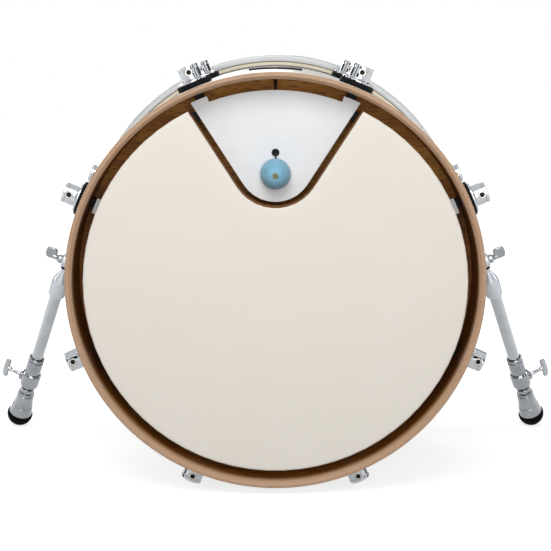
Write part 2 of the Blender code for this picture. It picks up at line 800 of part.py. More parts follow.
def tension_rod_mesh():
    """A tension rod along Z, its thread end low and its square key head high, with depth as Z."""
    seat = HOOP_FAR + GAP + CLAW_WALL
    head = seat + ROD_HEAD
    profile = [
        (0.0, head),
        (ROD_HEAD_RADIUS, head),
        (ROD_HEAD_RADIUS, seat),
        (ROD_RADIUS, seat),
        (ROD_RADIUS, ROD_NEAR),
        (0.0, ROD_NEAR),
    ]
    shank = turned(profile, BORE_STEPS)
    width, height = ROD_KEY
    key = box((width, width, height + ROD_HEAD), (0.0, 0.0, seat + (height + ROD_HEAD) / 2.0))
    return cut_mesh(shank, key, "UNION")


def make_tension_rods():
    shank = tension_rod_mesh()
    for index, angle in enumerate(station_angles()):
        on_axis = radial_frame(angle, 0.0, ROD_CIRCLE) @ AXIAL
        add(f"tension_rod_{index + 1}", shank.copy(), on_axis, DRUM, LOOK["chrome"])


def along_leg(distance):
    """A point this far down the leg, in the leg frame whose Z runs up the leg."""
    return -distance


def head_casting():
    """The swivel ring about the pivot, and the shoulder that the tube is pressed into. In the leg frame."""
    outline = [
        (SWIVEL_BORE, SWIVEL_HALF),
        (SWIVEL_RADIUS, SWIVEL_HALF),
        (SWIVEL_RADIUS, -SWIVEL_HALF),
        (SWIVEL_BORE, -SWIVEL_HALF),
    ]
    ring = turned(outline, SPUR_STEPS, closed=True)
    # The pivot runs along the leg frame's X.
    ring.transform(CROSSWISE)
    socket = TUBE_RADIUS + GAP
    profile = [
        (0.0, along_leg(NECK_START)),
        (NECK_RADIUS, along_leg(NECK_START)),
        (NECK_RADIUS, along_leg(NECK_END)),
        (SHOULDER_RADIUS, along_leg(SHOULDER_START)),
        (SHOULDER_RADIUS, along_leg(SHOULDER_END)),
        (socket, along_leg(SHOULDER_END)),
        (socket, along_leg(TUBE_START - GAP)),
        (0.0, along_leg(TUBE_START - GAP)),
    ]
    return cut_mesh(ring, turned(profile, SPUR_STEPS), "UNION")


def leg_tube():
    low = along_leg(TUBE_END)
    high = along_leg(TUBE_START)
    ring = [(TUBE_RADIUS, high), (TUBE_RADIUS, low), (TUBE_BORE, low), (TUBE_BORE, high)]
    return turned(ring, SPUR_STEPS, closed=True)


def tee_axis(side):
    """The T-bolt's line in the leg frame: Z along the bolt, outward, and Y up the leg."""
    out = Vector((math.cos(TEE_TWIST), side * math.sin(TEE_TWIST), 0.0))
    return frame(Vector((0.0, 0.0, along_leg(TEE_AT))), Vector((0.0, 0.0, 1.0)).cross(out), out)


def collar_mesh(side):
    """The clamp at the tube's end, with the boss that takes the T-bolt."""
    passage = RODLET_RADIUS + GAP
    socket = TUBE_RADIUS + GAP
    outer = [
        (COLLAR_RADIUS, along_leg(COLLAR_START)),
        (COLLAR_RADIUS, along_leg(KNUCKLE_START)),
        (KNUCKLE_RADIUS, along_leg(KNUCKLE_START)),
        (KNUCKLE_RADIUS, along_leg(KNUCKLE_END)),
        (COLLAR_MOUTH, along_leg(COLLAR_END)),
        (passage, along_leg(COLLAR_END)),
        (passage, along_leg(TUBE_END + GAP)),
        (socket, along_leg(TUBE_END + GAP)),
        (socket, along_leg(COLLAR_START)),
    ]
    body = turned(outer, SPUR_STEPS, closed=True)
    boss = rod(TEE_BOSS_RADIUS, COLLAR_MOUTH, TEE_BOSS_END, SPUR_STEPS)
    boss.transform(tee_axis(side))
    hole = rod(TEE_HOLE, 0.0, TEE_REACH)
    hole.transform(tee_axis(side))
    return cut_mesh(cut_mesh(body, boss, "UNION"), hole)


def inner_rod():
    return rod(RODLET_RADIUS, along_leg(RODLET_END), along_leg(RODLET_START))


def tee_bolt():
    """A bolt along Z, from the rod that it clamps to a handle across its outer end."""
    shank = rod(TEE_SHANK, RODLET_RADIUS + GAP, TEE_REACH + TEE_WIDTH / 2.0, BORE_STEPS)
    handle = box((TEE_WIDTH, TEE_LENGTH, TEE_WIDTH), (0.0, 0.0, TEE_REACH + TEE_WIDTH / 2.0))
    return cut_mesh(shank, handle, "UNION")


def wing_bolt():
    """The wing bolt along the pivot: its shank runs through the swivel ring into the bracket."""
    low = SWIVEL_HALF + GAP
    end = -SWIVEL_HALF - THREAD_DEPTH
    profile = [
        (0.0, WING_REACH),
        (WING_SHANK, WING_REACH),
        (WING_HUB, low + WING_HUB),
        (WING_HUB, low),
        (WING_SHANK, low),
        (WING_SHANK, end),
        (0.0, end),
    ]
    wing = rod(WING_RADIUS, -WING_WALL / 2.0, WING_WALL / 2.0, SPUR_STEPS)
    center = Vector((-WING_OFFSET, 0.0, WING_REACH))
    wing.transform(frame(center, Vector((1.0, 0.0, 0.0)), Vector((0.0, 1.0, 0.0))))
    return cut_mesh(turned(profile, 12), wing, "UNION")


def bracket_mesh(along, base):
    """The shell bracket in the drum's frame: a flange on its gasket, and a boss up to the swivel ring."""
    low = seat_height()
    rim = low + SPUR_GASKET
    profile = [
        (0.0, rim + SPUR_FLANGE),
        (SPUR_FLANGE_RADIUS, rim + SPUR_FLANGE),
        (SPUR_FLANGE_RADIUS, rim),
        (SPUR_GASKET_RADIUS, rim),
        (SPUR_GASKET_RADIUS, low),
        (SPUR_GASKET_RADIUS / 2.0, low),
        (0.0, low),
    ]
    flange = saddle(turned(profile, 20), low)
    flange.transform(base)
    boss = rod(BOSS_RADIUS, -BOSS_DEPTH, -SWIVEL_HALF - GAP, SPUR_STEPS)
    boss.transform(along)
    thread = rod(BOSS_BORE, -SWIVEL_HALF - THREAD_DEPTH - GAP, 0.0)
    thread.transform(along)
    return cut_mesh(cut_mesh(flange, boss, "UNION"), thread)


def foot_cone():
    passage = RODLET_RADIUS + GAP
    end = along_leg(RODLET_END + GAP)
    profile = [
        (0.0, end),
        (passage, end),
        (passage, along_leg(CONE_START)),
        (CONE_NECK, along_leg(CONE_START)),
        (CONE_WAIST, along_leg(CONE_WAIST_AT)),
        (CONE_RIM, along_leg(CONE_END)),
        (0.0, along_leg(CONE_END)),
    ]
    return turned(profile, SPUR_STEPS)


def rubber_tip():
    """A rubber cap with a domed end. Its lowest spot is pressed flat on the floor."""
    middle = along_leg(dome_center_distance())
    top = along_leg(CONE_END + GAP)
    dome = arc((0.0, middle), TIP_RADIUS, 0.0, -math.pi / 2.0, 7)
    profile = [(0.0, top), (CONE_RIM, top), *dome[:-1], (0.0, middle - TIP_RADIUS)]
    return turned(profile, 20)


def floor_block():
    """What the rubber tips are pressed flat against."""
    return box((1.2, 1.2, 0.1), (0.0, 0.0, -0.05))


def make_spurs():
    floor = add("floor_block", floor_block(), stance().inverted(), DRUM)
    for name, side in SIDES:
        along, down, base = spur_frames(side)
        add(f"{name}_spur_bracket", bracket_mesh(along, base), Matrix.Identity(4), DRUM, LOOK["chrome"])
        pivot = empty(f"{name}_spur_pivot", along, DRUM)
        add(f"{name}_wing_bolt", wing_bolt(), along, pivot, LOOK["chrome"])
        add(f"{name}_spur_head", head_casting(), down, pivot, LOOK["chrome"])
        add(f"{name}_leg_tube", leg_tube(), down, pivot, LOOK["chrome"])
        add(f"{name}_clamp_collar", collar_mesh(side), down, pivot, LOOK["chrome"])
        add(f"{name}_tee_bolt", tee_bolt(), down @ tee_axis(side), pivot, LOOK["chrome"])
        slide = empty(f"{name}_leg_slide", down, pivot)
        add(f"{name}_inner_rod", inner_rod(), down, slide, LOOK["steel"])
        add(f"{name}_foot_cone", foot_cone(), down, slide, LOOK["chrome"])
        tip = add(f"{name}_rubber_tip", rubber_tip(), down, slide, LOOK["rubber"])
        boolean(tip, floor)


make_shell()
make_lugs()
make_mounting_ring()
make_board()
make_foam()
make_foam_plate()
make_trigger()
make_cable()
make_jack()
make_resonant_side()
make_tension_rods()
make_spurs()
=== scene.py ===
"""The looks of the bass drum: its materials, its fine pieces, the light and the camera.

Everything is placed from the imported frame. The drum's own frame has X across, Y into the drum from
the open lip, and Z up. All sizes are in metres.
"""

import json
import math

import bmesh
import bpy
from mathutils import Matrix, Vector


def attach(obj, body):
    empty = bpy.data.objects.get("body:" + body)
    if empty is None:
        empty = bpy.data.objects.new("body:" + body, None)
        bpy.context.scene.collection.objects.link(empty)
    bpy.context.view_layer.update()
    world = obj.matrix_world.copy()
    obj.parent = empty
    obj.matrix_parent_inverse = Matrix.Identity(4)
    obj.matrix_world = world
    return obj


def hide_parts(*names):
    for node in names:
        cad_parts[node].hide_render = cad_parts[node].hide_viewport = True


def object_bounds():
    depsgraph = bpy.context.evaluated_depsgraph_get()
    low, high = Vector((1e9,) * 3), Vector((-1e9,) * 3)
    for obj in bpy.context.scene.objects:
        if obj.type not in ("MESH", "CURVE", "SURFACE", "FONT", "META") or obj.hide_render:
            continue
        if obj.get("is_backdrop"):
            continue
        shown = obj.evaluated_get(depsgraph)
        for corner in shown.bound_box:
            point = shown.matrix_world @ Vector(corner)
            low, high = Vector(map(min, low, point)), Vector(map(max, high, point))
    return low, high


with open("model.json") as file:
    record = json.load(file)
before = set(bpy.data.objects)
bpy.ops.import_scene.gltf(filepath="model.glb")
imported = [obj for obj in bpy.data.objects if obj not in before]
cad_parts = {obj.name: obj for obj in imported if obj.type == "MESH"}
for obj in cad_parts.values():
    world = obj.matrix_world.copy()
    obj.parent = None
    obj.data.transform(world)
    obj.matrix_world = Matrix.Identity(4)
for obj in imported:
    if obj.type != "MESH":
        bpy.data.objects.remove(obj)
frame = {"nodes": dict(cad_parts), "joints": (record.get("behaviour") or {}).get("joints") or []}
CAD_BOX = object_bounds()

# The view: the camera looks at a spot a little above the middle of the open lip.
CAMERA_DISTANCE = 1.871
CAMERA_ELEVATION = math.radians(6.96)
AIM_ABOVE_AXIS = 0.0132
CAMERA_LENS = 92.45
CAMERA_SENSOR = 36.0

# The studio: its even light, what shiny surfaces see overhead and as dark flags, and the power,
# place and size of its soft boxes. The two side boxes are as large as the overhead one, and the
# back box is as large as the front one.
STUDIO_LEVEL = 0.35
CEILING_LEVEL = 1.1
FLAG_LEVEL = 0.02
KEY_POWER = 19.5
KEY_PLACE = (-0.15, -1.55, 1.65)
KEY_SIZE = (1.2, 0.8)
FRONT_POWER = 20.5
FRONT_PLACE = (0.20, -2.55, 0.70)
FRONT_SIZE = (1.6, 1.4)
BACK_POWER = 27.0
BACK_PLACE = (-0.70, 2.60, 1.40)
SIDE_POWER = 11.0
SIDE_PLACE = (2.40, 0.45, 1.10)

# The floor gives off this much light under the drum and away from it, where it goes to white.
NEAR_GLOW = 0.68
FAR_GLOW = 1.0

# How finely the turned pieces are made.
DRUM_STEPS = 216
PART_STEPS = 56
SMALL_STEPS = 28

JOINTS = {joint["name"]: joint for joint in frame["joints"]}
NODES = frame["nodes"]
LATHE_TO_DEPTH = Matrix.Rotation(math.radians(-90.0), 4, "X")
SHEET_TO_FACE = Matrix.Rotation(math.radians(90.0), 4, "X")


def axes(origin, x_axis, z_axis):
    """A right-handed frame from its origin, X and Z directions."""
    z_axis = Vector(z_axis).normalized()
    y_axis = z_axis.cross(Vector(x_axis)).normalized()
    turn = Matrix((y_axis.cross(z_axis), y_axis, z_axis)).transposed().to_4x4()
    return Matrix.Translation(Vector(origin)) @ turn


def drum_frame():
    """The drum's own frame, from the axes of its tension rods and the front of its shell."""
    rods = [joint for name, joint in JOINTS.items() if name.startswith("tension_rod")]
    centre = sum((Vector(rod["pos_m"]) for rod in rods), Vector()) / len(rods)
    depth = Vector(rods[0]["axis"]).normalized()
    lip = min((vertex.co - centre).dot(depth) for vertex in NODES["shell"].data.vertices)
    across = Vector((1.0, 0.0, 0.0))
    return axes(centre + depth * lip, across, across.cross(depth))


DRUM = drum_frame()
AXIS = DRUM @ LATHE_TO_DEPTH
FACE = DRUM @ SHEET_TO_FACE


def node_points(node, matrix):
    """A node's vertices, as a frame sees them."""
    back = matrix.inverted()
    return [back @ vertex.co for vertex in NODES[node].data.vertices]


def span(node, matrix):
    """A node's least and greatest radius and height about a frame's Z."""
    points = node_points(node, matrix)
    radii = [math.hypot(point.x, point.y) for point in points]
    heights = [point.z for point in points]
    return min(radii), max(radii), min(heights), max(heights)


def station_angles():
    """The angle of each tension rod about the drum, in radians, and the radius of their circle."""
    back = DRUM.inverted()
    places = [back @ Vector(JOINTS[f"tension_rod_{index}_turn"]["pos_m"]) for index in range(1, 9)]
    return [math.atan2(place.z, place.x) for place in places], math.hypot(places[0].x, places[0].z)


STATIONS, ROD_CIRCLE = station_angles()


def radial(angle, depth):
    """Z points out of the shell at this angle in radians, from the axis at this depth."""
    out = Vector((math.cos(angle), 0.0, math.sin(angle)))
    across = Vector((0.0, 1.0, 0.0)).cross(out)
    return DRUM @ axes((0.0, depth, 0.0), across, out)


def inward(height):
    """Z points into the drum, at this height over its axis."""
    return DRUM @ Matrix.Translation((0.0, 0.0, height)) @ LATHE_TO_DEPTH


# ---------------------------------------------------------------- meshes


def fillet(points, closed=True, radius=0.0006):
    """Rounds the corners of a profile. A point may carry its own radius as a third number."""
    made = []
    count = 4
    total = len(points)
    for index, point in enumerate(points):
        here = Vector(point[:2])
        size = point[2] if len(point) > 2 else radius
        if not closed and index in (0, total - 1) or size <= 0.0:
            made.append(tuple(here))
            continue
        before = Vector(points[index - 1][:2]) - here
        after = Vector(points[(index + 1) % total][:2]) - here
        first = here + before.normalized() * min(size, before.length * 0.48)
        last = here + after.normalized() * min(size, after.length * 0.48)
        for step in range(count + 1):
            t = step / count
            made.append(tuple(first * (1 - t) ** 2 + here * 2 * t * (1 - t) + last * t * t))
    return made


def lathe(points, steps=PART_STEPS, closed=True, radius=0.0006, slot=0):
    """A bmesh turned about Z from (radius, height) points with rounded corners."""
    bm = bmesh.new()
    rings = []
    for distance, height in fillet(points, closed, radius):
        count = steps if distance > 1e-6 else 1
        turns = [2.0 * math.pi * index / steps for index in range(count)]
        rings.append([bm.verts.new((distance * math.cos(t), distance * math.sin(t), height)) for t in turns])
    pairs = list(zip(rings, rings[1:]))
    if closed:
        pairs.append((rings[-1], rings[0]))
    for a, b in pairs:
        for index in range(steps):
            after = index + 1
            corners = [a[index % len(a)], a[after % len(a)], b[after % len(b)], b[index % len(b)]]
            corners = list(dict.fromkeys(corners))
            if len(corners) > 2:
                bm.faces.new(corners).material_index = slot
    bmesh.ops.recalc_face_normals(bm, faces=bm.faces)
    return bm


def puck(radius, low, high, high_edge=0.0006, low_edge=0.0006, steps=PART_STEPS, slot=0):
    """A turned piece that is a plain disc or rod, with the rounding of its two ends."""
    profile = [(0.0, high), (radius, high, high_edge), (radius, low, low_edge), (0.0, low)]
    return lathe(profile, steps, False, slot=slot)


def skin(bm, rings, ends=True):
    """Faces from each ring of vertices to the next, and over the first and last ring."""
    for a, b in zip(rings, rings[1:]):
        for index in range(len(a)):
            after = (index + 1) % len(a)
            bm.faces.new((a[index], a[after], b[after], b[index]))
    if ends:
        bm.faces.new(rings[0])
        bm.faces.new(rings[-1])
    bmesh.ops.recalc_face_normals(bm, faces=bm.faces)
    return bm


def outset(outline, distance):
    """A closed outline moved outward by this distance, kept parallel to itself."""
    made = []
    total = len(outline)
    turn = sum(a.x * b.y - a.y * b.x for a, b in zip(outline, outline[1:] + outline[:1]))
    sign = 1.0 if turn > 0.0 else -1.0
    for index, point in enumerate(outline):
        first = (point - outline[index - 1]).normalized()
        second = (outline[(index + 1) % total] - point).normalized()
        normals = [Vector((way.y, -way.x)) * sign for way in (first, second)]
        both = normals[0] + normals[1]
        made.append(point + both * (distance / max(0.35, 1.0 + normals[0].dot(normals[1]))))
    return made


def slab(outline, low, high, edge, crown=0.0):
    """A flat piece with rounded edges from an outline in XY. A crown lifts its middle above its rim."""
    bm = bmesh.new()
    outline = [Vector(point) for point in outline]
    rounds = 5
    layers = []
    for step in range(rounds + 1):
        turn = math.pi / 2.0 * step / rounds
        layers.append((edge * (1.0 - math.sin(turn)), low + edge * (1.0 - math.cos(turn))))
    layers += [(inset, low + high - height) for inset, height in reversed(layers)]
    rings = []
    for inset, height in layers:
        rings.append([bm.verts.new((*point, height)) for point in outset(outline, -inset)])
    if crown:
        inner = outset(outline, -layers[-1][0])
        rings_in = 10
        for step in range(1, rings_in):
            share = 1.0 - (step / rings_in) ** 1.5
            height = high + crown * (1.0 - share ** 6)
            rings.append([bm.verts.new((*(point * share), height)) for point in inner])
    return skin(bm, rings)


def moved(bm, matrix):
    bmesh.ops.transform(bm, matrix=matrix, verts=bm.verts)
    return bm


def joined(*parts):
    """One bmesh that holds all of them."""
    made = parts[0]
    for part in parts[1:]:
        mesh = bpy.data.meshes.new("part")
        part.to_mesh(mesh)
        part.free()
        made.from_mesh(mesh)
        bpy.data.meshes.remove(mesh)
    return made


def linked(name, data):
    """A new object in the scene that holds this data."""
    made = bpy.data.objects.new(name, data)
    bpy.context.scene.collection.objects.link(made)
    return made


def cut(bm, cutter):
    """The bmesh with another one cut away from it."""
    holders = []
    for part in (bm, cutter):
        mesh = bpy.data.meshes.new("part")
        part.to_mesh(mesh)
        part.free()
        holders.append(linked("holder", mesh))
    step = holders[0].modifiers.new("cut", "BOOLEAN")
    step.operation = "DIFFERENCE"
    step.object = holders[1]
    step.solver = "EXACT"
    step.material_mode = "INDEX"
    bpy.context.view_layer.update()
    done = holders[0].evaluated_get(bpy.context.evaluated_depsgraph_get()).to_mesh()
    made = bmesh.new()
    made.from_mesh(done)
    for holder in holders:
        mesh = holder.data
        bpy.data.objects.remove(holder)
        bpy.data.meshes.remove(mesh)
    return made


def mesh_of(name, bm, sharp=38.0):
    mesh = bpy.data.meshes.new(name)
    bm.to_mesh(mesh)
    bm.free()
    mesh.shade_smooth()
    mesh.set_sharp_from_angle(angle=math.radians(sharp))
    return mesh


def place(name, mesh, matrix, body, looks, replaces=(), slot=None):
    """Puts a mesh into the scene as a piece of the drum, riding on a body."""
    if isinstance(mesh, bmesh.types.BMesh):
        mesh = mesh_of(name, mesh)
    looks = looks if isinstance(looks, (list, tuple)) else [looks]
    if not mesh.materials:
        for look in looks:
            mesh.materials.append(look)
    made = linked(name, mesh)
    made.matrix_world = matrix
    bpy.context.view_layer.update()
    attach(made, body)
    if replaces:
        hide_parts(*replaces)
    return made


def dress(node, look, bevel=0.0):
    """Gives a CAD node that stays its material, and rounds its edges where asked."""
    shown = NODES[node]
    shown.data.materials.clear()
    shown.data.materials.append(look)
    if bevel:
        step = shown.modifiers.new("edges", "BEVEL")
        step.width = bevel
        step.segments = 3
        step.limit_method = "ANGLE"
        step.angle_limit = math.radians(50.0)
        step.harden_normals = True


# ---------------------------------------------------------------- materials


def tone(red, green, blue):
    """A colour given as sRGB levels of 0 to 255, in linear light."""
    made = []
    for level in (red, green, blue):
        share = level / 255.0
        made.append(share / 12.92 if share <= 0.04045 else ((share + 0.055) / 1.055) ** 2.4)
    return (*made, 1.0)


class Nodes:
    """A node tree, and short calls for the nodes in it. A value is a number, a tuple or a socket."""

    def __init__(self, tree):
        self.tree = tree

    def node(self, kind, values=(), **settings):
        """A new node, with the values of its inputs by name or number."""
        made = self.tree.nodes.new(kind)
        for key, setting in settings.items():
            setattr(made, key, setting)
        for key, value in dict(values).items():
            self.feed(made.inputs[key], value)
        return made

    def feed(self, socket, value):
        if isinstance(value, bpy.types.NodeSocket):
            self.tree.links.new(value, socket)
        else:
            socket.default_value = value

    def math(self, operation, *values):
        return self.node("ShaderNodeMath", enumerate(values), operation=operation).outputs[0]

    def times(self, first, second):
        return self.math("MULTIPLY", first, second)

    def vector(self, *values):
        return self.node("ShaderNodeCombineXYZ", enumerate(values)).outputs[0]

    def split(self, vector):
        return self.node("ShaderNodeSeparateXYZ", {0: vector}).outputs

    def ramp(self, factor, stops):
        """Colours along a factor, from (place, colour) stops. A colour is sRGB levels, or one grey."""
        made = self.node("ShaderNodeValToRGB", {0: factor})
        elements = made.color_ramp.elements
        while len(elements) < len(stops):
            elements.new(0.5)
        for element, (place_on, color) in zip(elements, stops):
            element.position = place_on
            element.color = tone(*color) if isinstance(color, tuple) else (color, color, color, 1.0)
        return made.outputs[0]

    def mix(self, factor, first, second, kind="MIX"):
        values = {0: factor, 6: first, 7: second}
        return self.node("ShaderNodeMix", values, data_type="RGBA", blend_type=kind).outputs[2]


class Look(Nodes):
    """A material, and short calls for what its surface is made of."""

    def __init__(self, name, roughness=0.5, metallic=0.0, coat=0.0, sheen=0.0, specular=0.5):
        self.material = bpy.data.materials.new(name)
        self.material.use_nodes = True
        super().__init__(self.material.node_tree)
        self.inputs = self.tree.nodes["Principled BSDF"].inputs
        self.inputs["Roughness"].default_value = roughness
        self.inputs["Metallic"].default_value = metallic
        self.inputs["Coat Weight"].default_value = coat
        self.inputs["Coat Roughness"].default_value = 0.06
        self.inputs["Sheen Weight"].default_value = sheen
        self.inputs["Specular IOR Level"].default_value = specular

    def point(self, scale=(1.0, 1.0, 1.0)):
        """The piece's own coordinates, stretched."""
        own = self.node("ShaderNodeTexCoord").outputs["Object"]
        return self.node("ShaderNodeMapping", {"Vector": own, "Scale": scale}).outputs["Vector"]

    def radius_and_turn(self):
        """Distance from the piece's Z axis, angle about it, and height along it."""
        x, y, z = self.split(self.point())
        squares = self.math("ADD", self.times(x, x), self.times(y, y))
        return self.math("SQRT", squares), self.math("ARCTAN2", y, x), z

    def noise(self, vector, scale, detail=4.0, roughness=0.55, distortion=0.0):
        values = {"Vector": vector, "Scale": scale, "Detail": detail}
        values.update({"Roughness": roughness, "Distortion": distortion})
        return self.node("ShaderNodeTexNoise", values).outputs[0]

    def cells(self, vector, scale):
        values = {"Vector": vector, "Scale": scale}
        return self.node("ShaderNodeTexVoronoi", values).outputs["Distance"]

    def between(self, factor, low, high):
        """A factor of 0 to 1 taken to a range."""
        values = {0: factor, "To Min": low, "To Max": high}
        return self.node("ShaderNodeMapRange", values).outputs[0]

    def edge(self, value, low, high):
        """0 at low, 1 at high, smooth between and flat beyond."""
        values = {0: value, "From Min": low, "From Max": high}
        return self.node("ShaderNodeMapRange", values, interpolation_type="SMOOTHSTEP").outputs[0]

    def color(self, source):
        self.feed(self.inputs["Base Color"], source)

    def rough(self, factor, low, high):
        self.feed(self.inputs["Roughness"], self.between(factor, low, high))

    def bump(self, height, distance, strength=1.0):
        values = {"Strength": strength, "Distance": distance, "Height": height}
        self.feed(self.inputs["Normal"], self.node("ShaderNodeBump", values).outputs[0])


def metal_look(name, bright, dull, rough_low, rough_high, brushed=0.0):
    """Plated metal with faint cloudiness, fine scratches and a trace of dust."""
    look = Look(name, metallic=1.0)
    clouds = look.noise(look.point(), 45.0, 2.0)
    scratches = look.noise(look.point((900.0, 900.0, 24.0 if brushed else 900.0)), 1.0, 2.0, 0.7)
    look.color(look.ramp(clouds, [(0.25, dull), (0.7, bright)]))
    look.rough(look.mix(0.5, clouds, scratches), rough_low, rough_high)
    look.bump(scratches, 0.00002, 0.12 + brushed)
    return look.material


def moulded_look(name, dark, light, roughness, grain=900.0, depth=0.00006, specular=0.4):
    """Moulded rubber or plastic: a fine even grain, and dust that catches the light."""
    look = Look(name, specular=specular)
    point = look.point()
    fine = look.noise(point, grain, 3.0, 0.6)
    broad = look.noise(point, 45.0, 3.0, 0.6)
    look.color(look.ramp(broad, [(0.3, dark), (0.75, light)]))
    look.rough(fine, roughness - 0.1, roughness + 0.1)
    look.bump(fine, depth, 0.5)
    return look.material


def ply_look(shell_inner, shell_outer):
    """Bent ply: layered edge grain on the lip, and a long veneer grain on the inner wall, with painted shade
    at its sides and painted light near the lip.
    """
    look = Look("bent_ply", specular=0.35, coat=0.15)
    radius, turn, depth = look.radius_and_turn()
    along = look.times(turn, shell_outer)
    # Edge grain: fine streaks along each ply, and a darker glue line between plies.
    plies = 7.0
    ply = (shell_outer - shell_inner) / plies
    layer = look.math("DIVIDE", look.math("SUBTRACT", radius, shell_inner), ply)
    share = look.math("FRACT", layer)
    edge_grain = look.vector(look.times(along, 60.0), 0.0, look.times(radius, 2600.0))
    edge_streak = look.noise(edge_grain, 1.0, 4.0)
    each_ply = look.vector(look.math("FLOOR", layer), look.times(along, 2.0), 0.0)
    ply_tone = look.noise(each_ply, 0.9, 1.0)
    tans = [(0.28, (164, 129, 100)), (0.52, (186, 154, 125)), (0.78, (202, 176, 149))]
    edge = look.ramp(edge_streak, tans)
    edge = look.mix(look.between(ply_tone, 0.0, 0.6), edge, tone(214, 190, 168), "MULTIPLY")
    glue = look.ramp(share, [(0.0, 0.0), (0.07, 0.75), (0.16, 0.0), (1.0, 0.0)])
    edge = look.mix(look.times(glue, 0.7), edge, tone(112, 76, 48))
    # Inner veneer: grain along the circumference, with the soft figure of rotary-cut wood.
    sweep = look.vector(look.times(along, 9.0), look.times(depth, 120.0), 0.0)
    figure = look.noise(sweep, 1.0, 6.0, 0.6, 0.7)
    pores = look.noise(look.vector(look.times(along, 70.0), look.times(depth, 1500.0), 0.0), 1.0, 3.0)
    browns = [(0.25, (138, 80, 22)), (0.5, (182, 116, 44)), (0.8, (208, 150, 72))]
    wall = look.ramp(figure, browns)
    wall = look.mix(look.ramp(pores, [(0.35, 0.55), (0.5, 0.0)]), wall, tone(96, 54, 18))
    # Painted shade: the veneer is darker at the sides than at the top and bottom.
    upright = look.math("ABSOLUTE", look.math("SINE", turn))
    painted_side_shade = look.mix(1.0, wall, tone(168, 146, 120), "MULTIPLY")
    wall = look.mix(look.edge(upright, 0.80, 0.35), wall, painted_side_shade)
    # Painted light: the wall turns a lighter tan towards the open lip than deeper in.
    wall = look.mix(look.edge(depth, 0.026, 0.005), wall, tone(206, 170, 136))
    on_edge = look.edge(radius, shell_inner + 0.00015, shell_inner + 0.0005)
    look.color(look.mix(on_edge, wall, edge))
    look.rough(edge_streak, 0.38, 0.6)
    look.bump(look.mix(on_edge, pores, edge_streak), 0.00012, 0.5)
    return look.material


def board_look(name, dark, mid, light):
    """The dark board behind the foam: flat-sawn figure under a stain, with painted shade everywhere but at
    the top.
    """
    look = Look(name, specular=0.3)
    figure = look.noise(look.point((7.0, 30.0, 26.0)), 1.0, 6.0, 0.62, 1.2)
    pores = look.noise(look.point((60.0, 900.0, 700.0)), 1.0, 3.0)
    stain = look.ramp(figure, [(0.25, dark), (0.5, mid), (0.78, light)])
    stain = look.mix(look.ramp(pores, [(0.36, 0.6), (0.5, 0.0)]), stain, tone(52, 28, 8))
    # Painted shade: the board is darker everywhere but at the top.
    painted_shade_mask = look.edge(look.split(look.point())[2], 0.46, 0.38)
    look.color(look.mix(painted_shade_mask, stain, look.mix(1.0, stain, tone(176, 160, 140), "MULTIPLY")))
    look.rough(figure, 0.45, 0.7)
    look.bump(pores, 0.00015, 0.4)
    return look.material


def wrap_look():
    """Glossy white covering, with the faint ripple of a glued sheet."""
    look = Look("white_wrap", roughness=0.35, coat=0.05, specular=0.35)
    ripple = look.noise(look.point(), 34.0, 2.0)
    speck = look.noise(look.point(), 1400.0, 2.0)
    white = look.ramp(ripple, [(0.3, (226, 222, 217)), (0.7, (230, 227, 222))])
    # Its cut edge at the lip shows the tan backing.
    depth = look.radius_and_turn()[2]
    look.color(look.mix(look.edge(depth, WRAP_EDGE + 0.0010, WRAP_EDGE), white, tone(190, 164, 136)))
    look.rough(speck, 0.30, 0.42)
    look.bump(ripple, 0.0001, 0.08)
    return look.material


def foam_look():
    """Cut foam with a fine knitted face: small open pores and a soft uneven cream."""
    look = Look("cream_foam", roughness=0.9, sheen=0.25, specular=0.15)
    point = look.point()
    pores = look.cells(point, 950.0)
    broad = look.noise(point, 9.0, 3.0)
    fine = look.noise(point, 420.0, 4.0, 0.65)
    cream = look.ramp(broad, [(0.3, (228, 222, 212)), (0.7, (230, 224, 215))])
    cream = look.mix(look.ramp(pores, [(0.05, 0.30), (0.3, 0.0)]), cream, tone(204, 196, 182))
    look.color(look.mix(look.between(fine, 0.0, 0.10), cream, tone(212, 204, 191)))
    look.rough(fine, 0.82, 0.98)
    look.bump(look.mix(0.5, pores, fine), 0.00022, 0.45)
    return look.material


def plate_look():
    """Powder-coated sheet, pale and slightly cool, with a fine orange-peel surface."""
    look = Look("pale_plate", roughness=0.42, specular=0.45)
    point = look.point()
    peel = look.noise(point, 520.0, 2.0, 0.5)
    broad = look.noise(point, 14.0, 3.0)
    look.color(look.ramp(broad, [(0.3, (217, 220, 223)), (0.7, (225, 227, 229))]))
    look.rough(peel, 0.36, 0.52)
    look.bump(peel, 0.00008, 0.35)
    return look.material


def sponge_look():
    """Blue cellular rubber with a fine mottled skin."""
    look = Look("blue_sponge", roughness=0.62, sheen=0.2, specular=0.35)
    point = look.point()
    cells = look.cells(point, 900.0)
    mottle = look.noise(point, 260.0, 4.0, 0.7)
    blues = [(0.28, (100, 156, 184)), (0.55, (124, 176, 202)), (0.8, (150, 194, 216))]
    blue = look.ramp(mottle, blues)
    look.color(look.mix(look.ramp(cells, [(0.08, 0.5), (0.35, 0.0)]), blue, tone(80, 130, 158)))
    look.rough(mottle, 0.5, 0.75)
    look.bump(cells, 0.00018, 0.5)
    return look.material


def felt_look():
    """Pressed felt in a greyed tan."""
    look = Look("tan_felt", roughness=0.95, sheen=0.5, specular=0.1)
    fibre = look.noise(look.point(), 1500.0, 5.0, 0.7, 1.5)
    tans = [(0.25, (92, 86, 52)), (0.55, (130, 124, 84)), (0.8, (158, 150, 108))]
    look.color(look.ramp(fibre, tans))
    look.bump(fibre, 0.0003, 0.7)
    return look.material


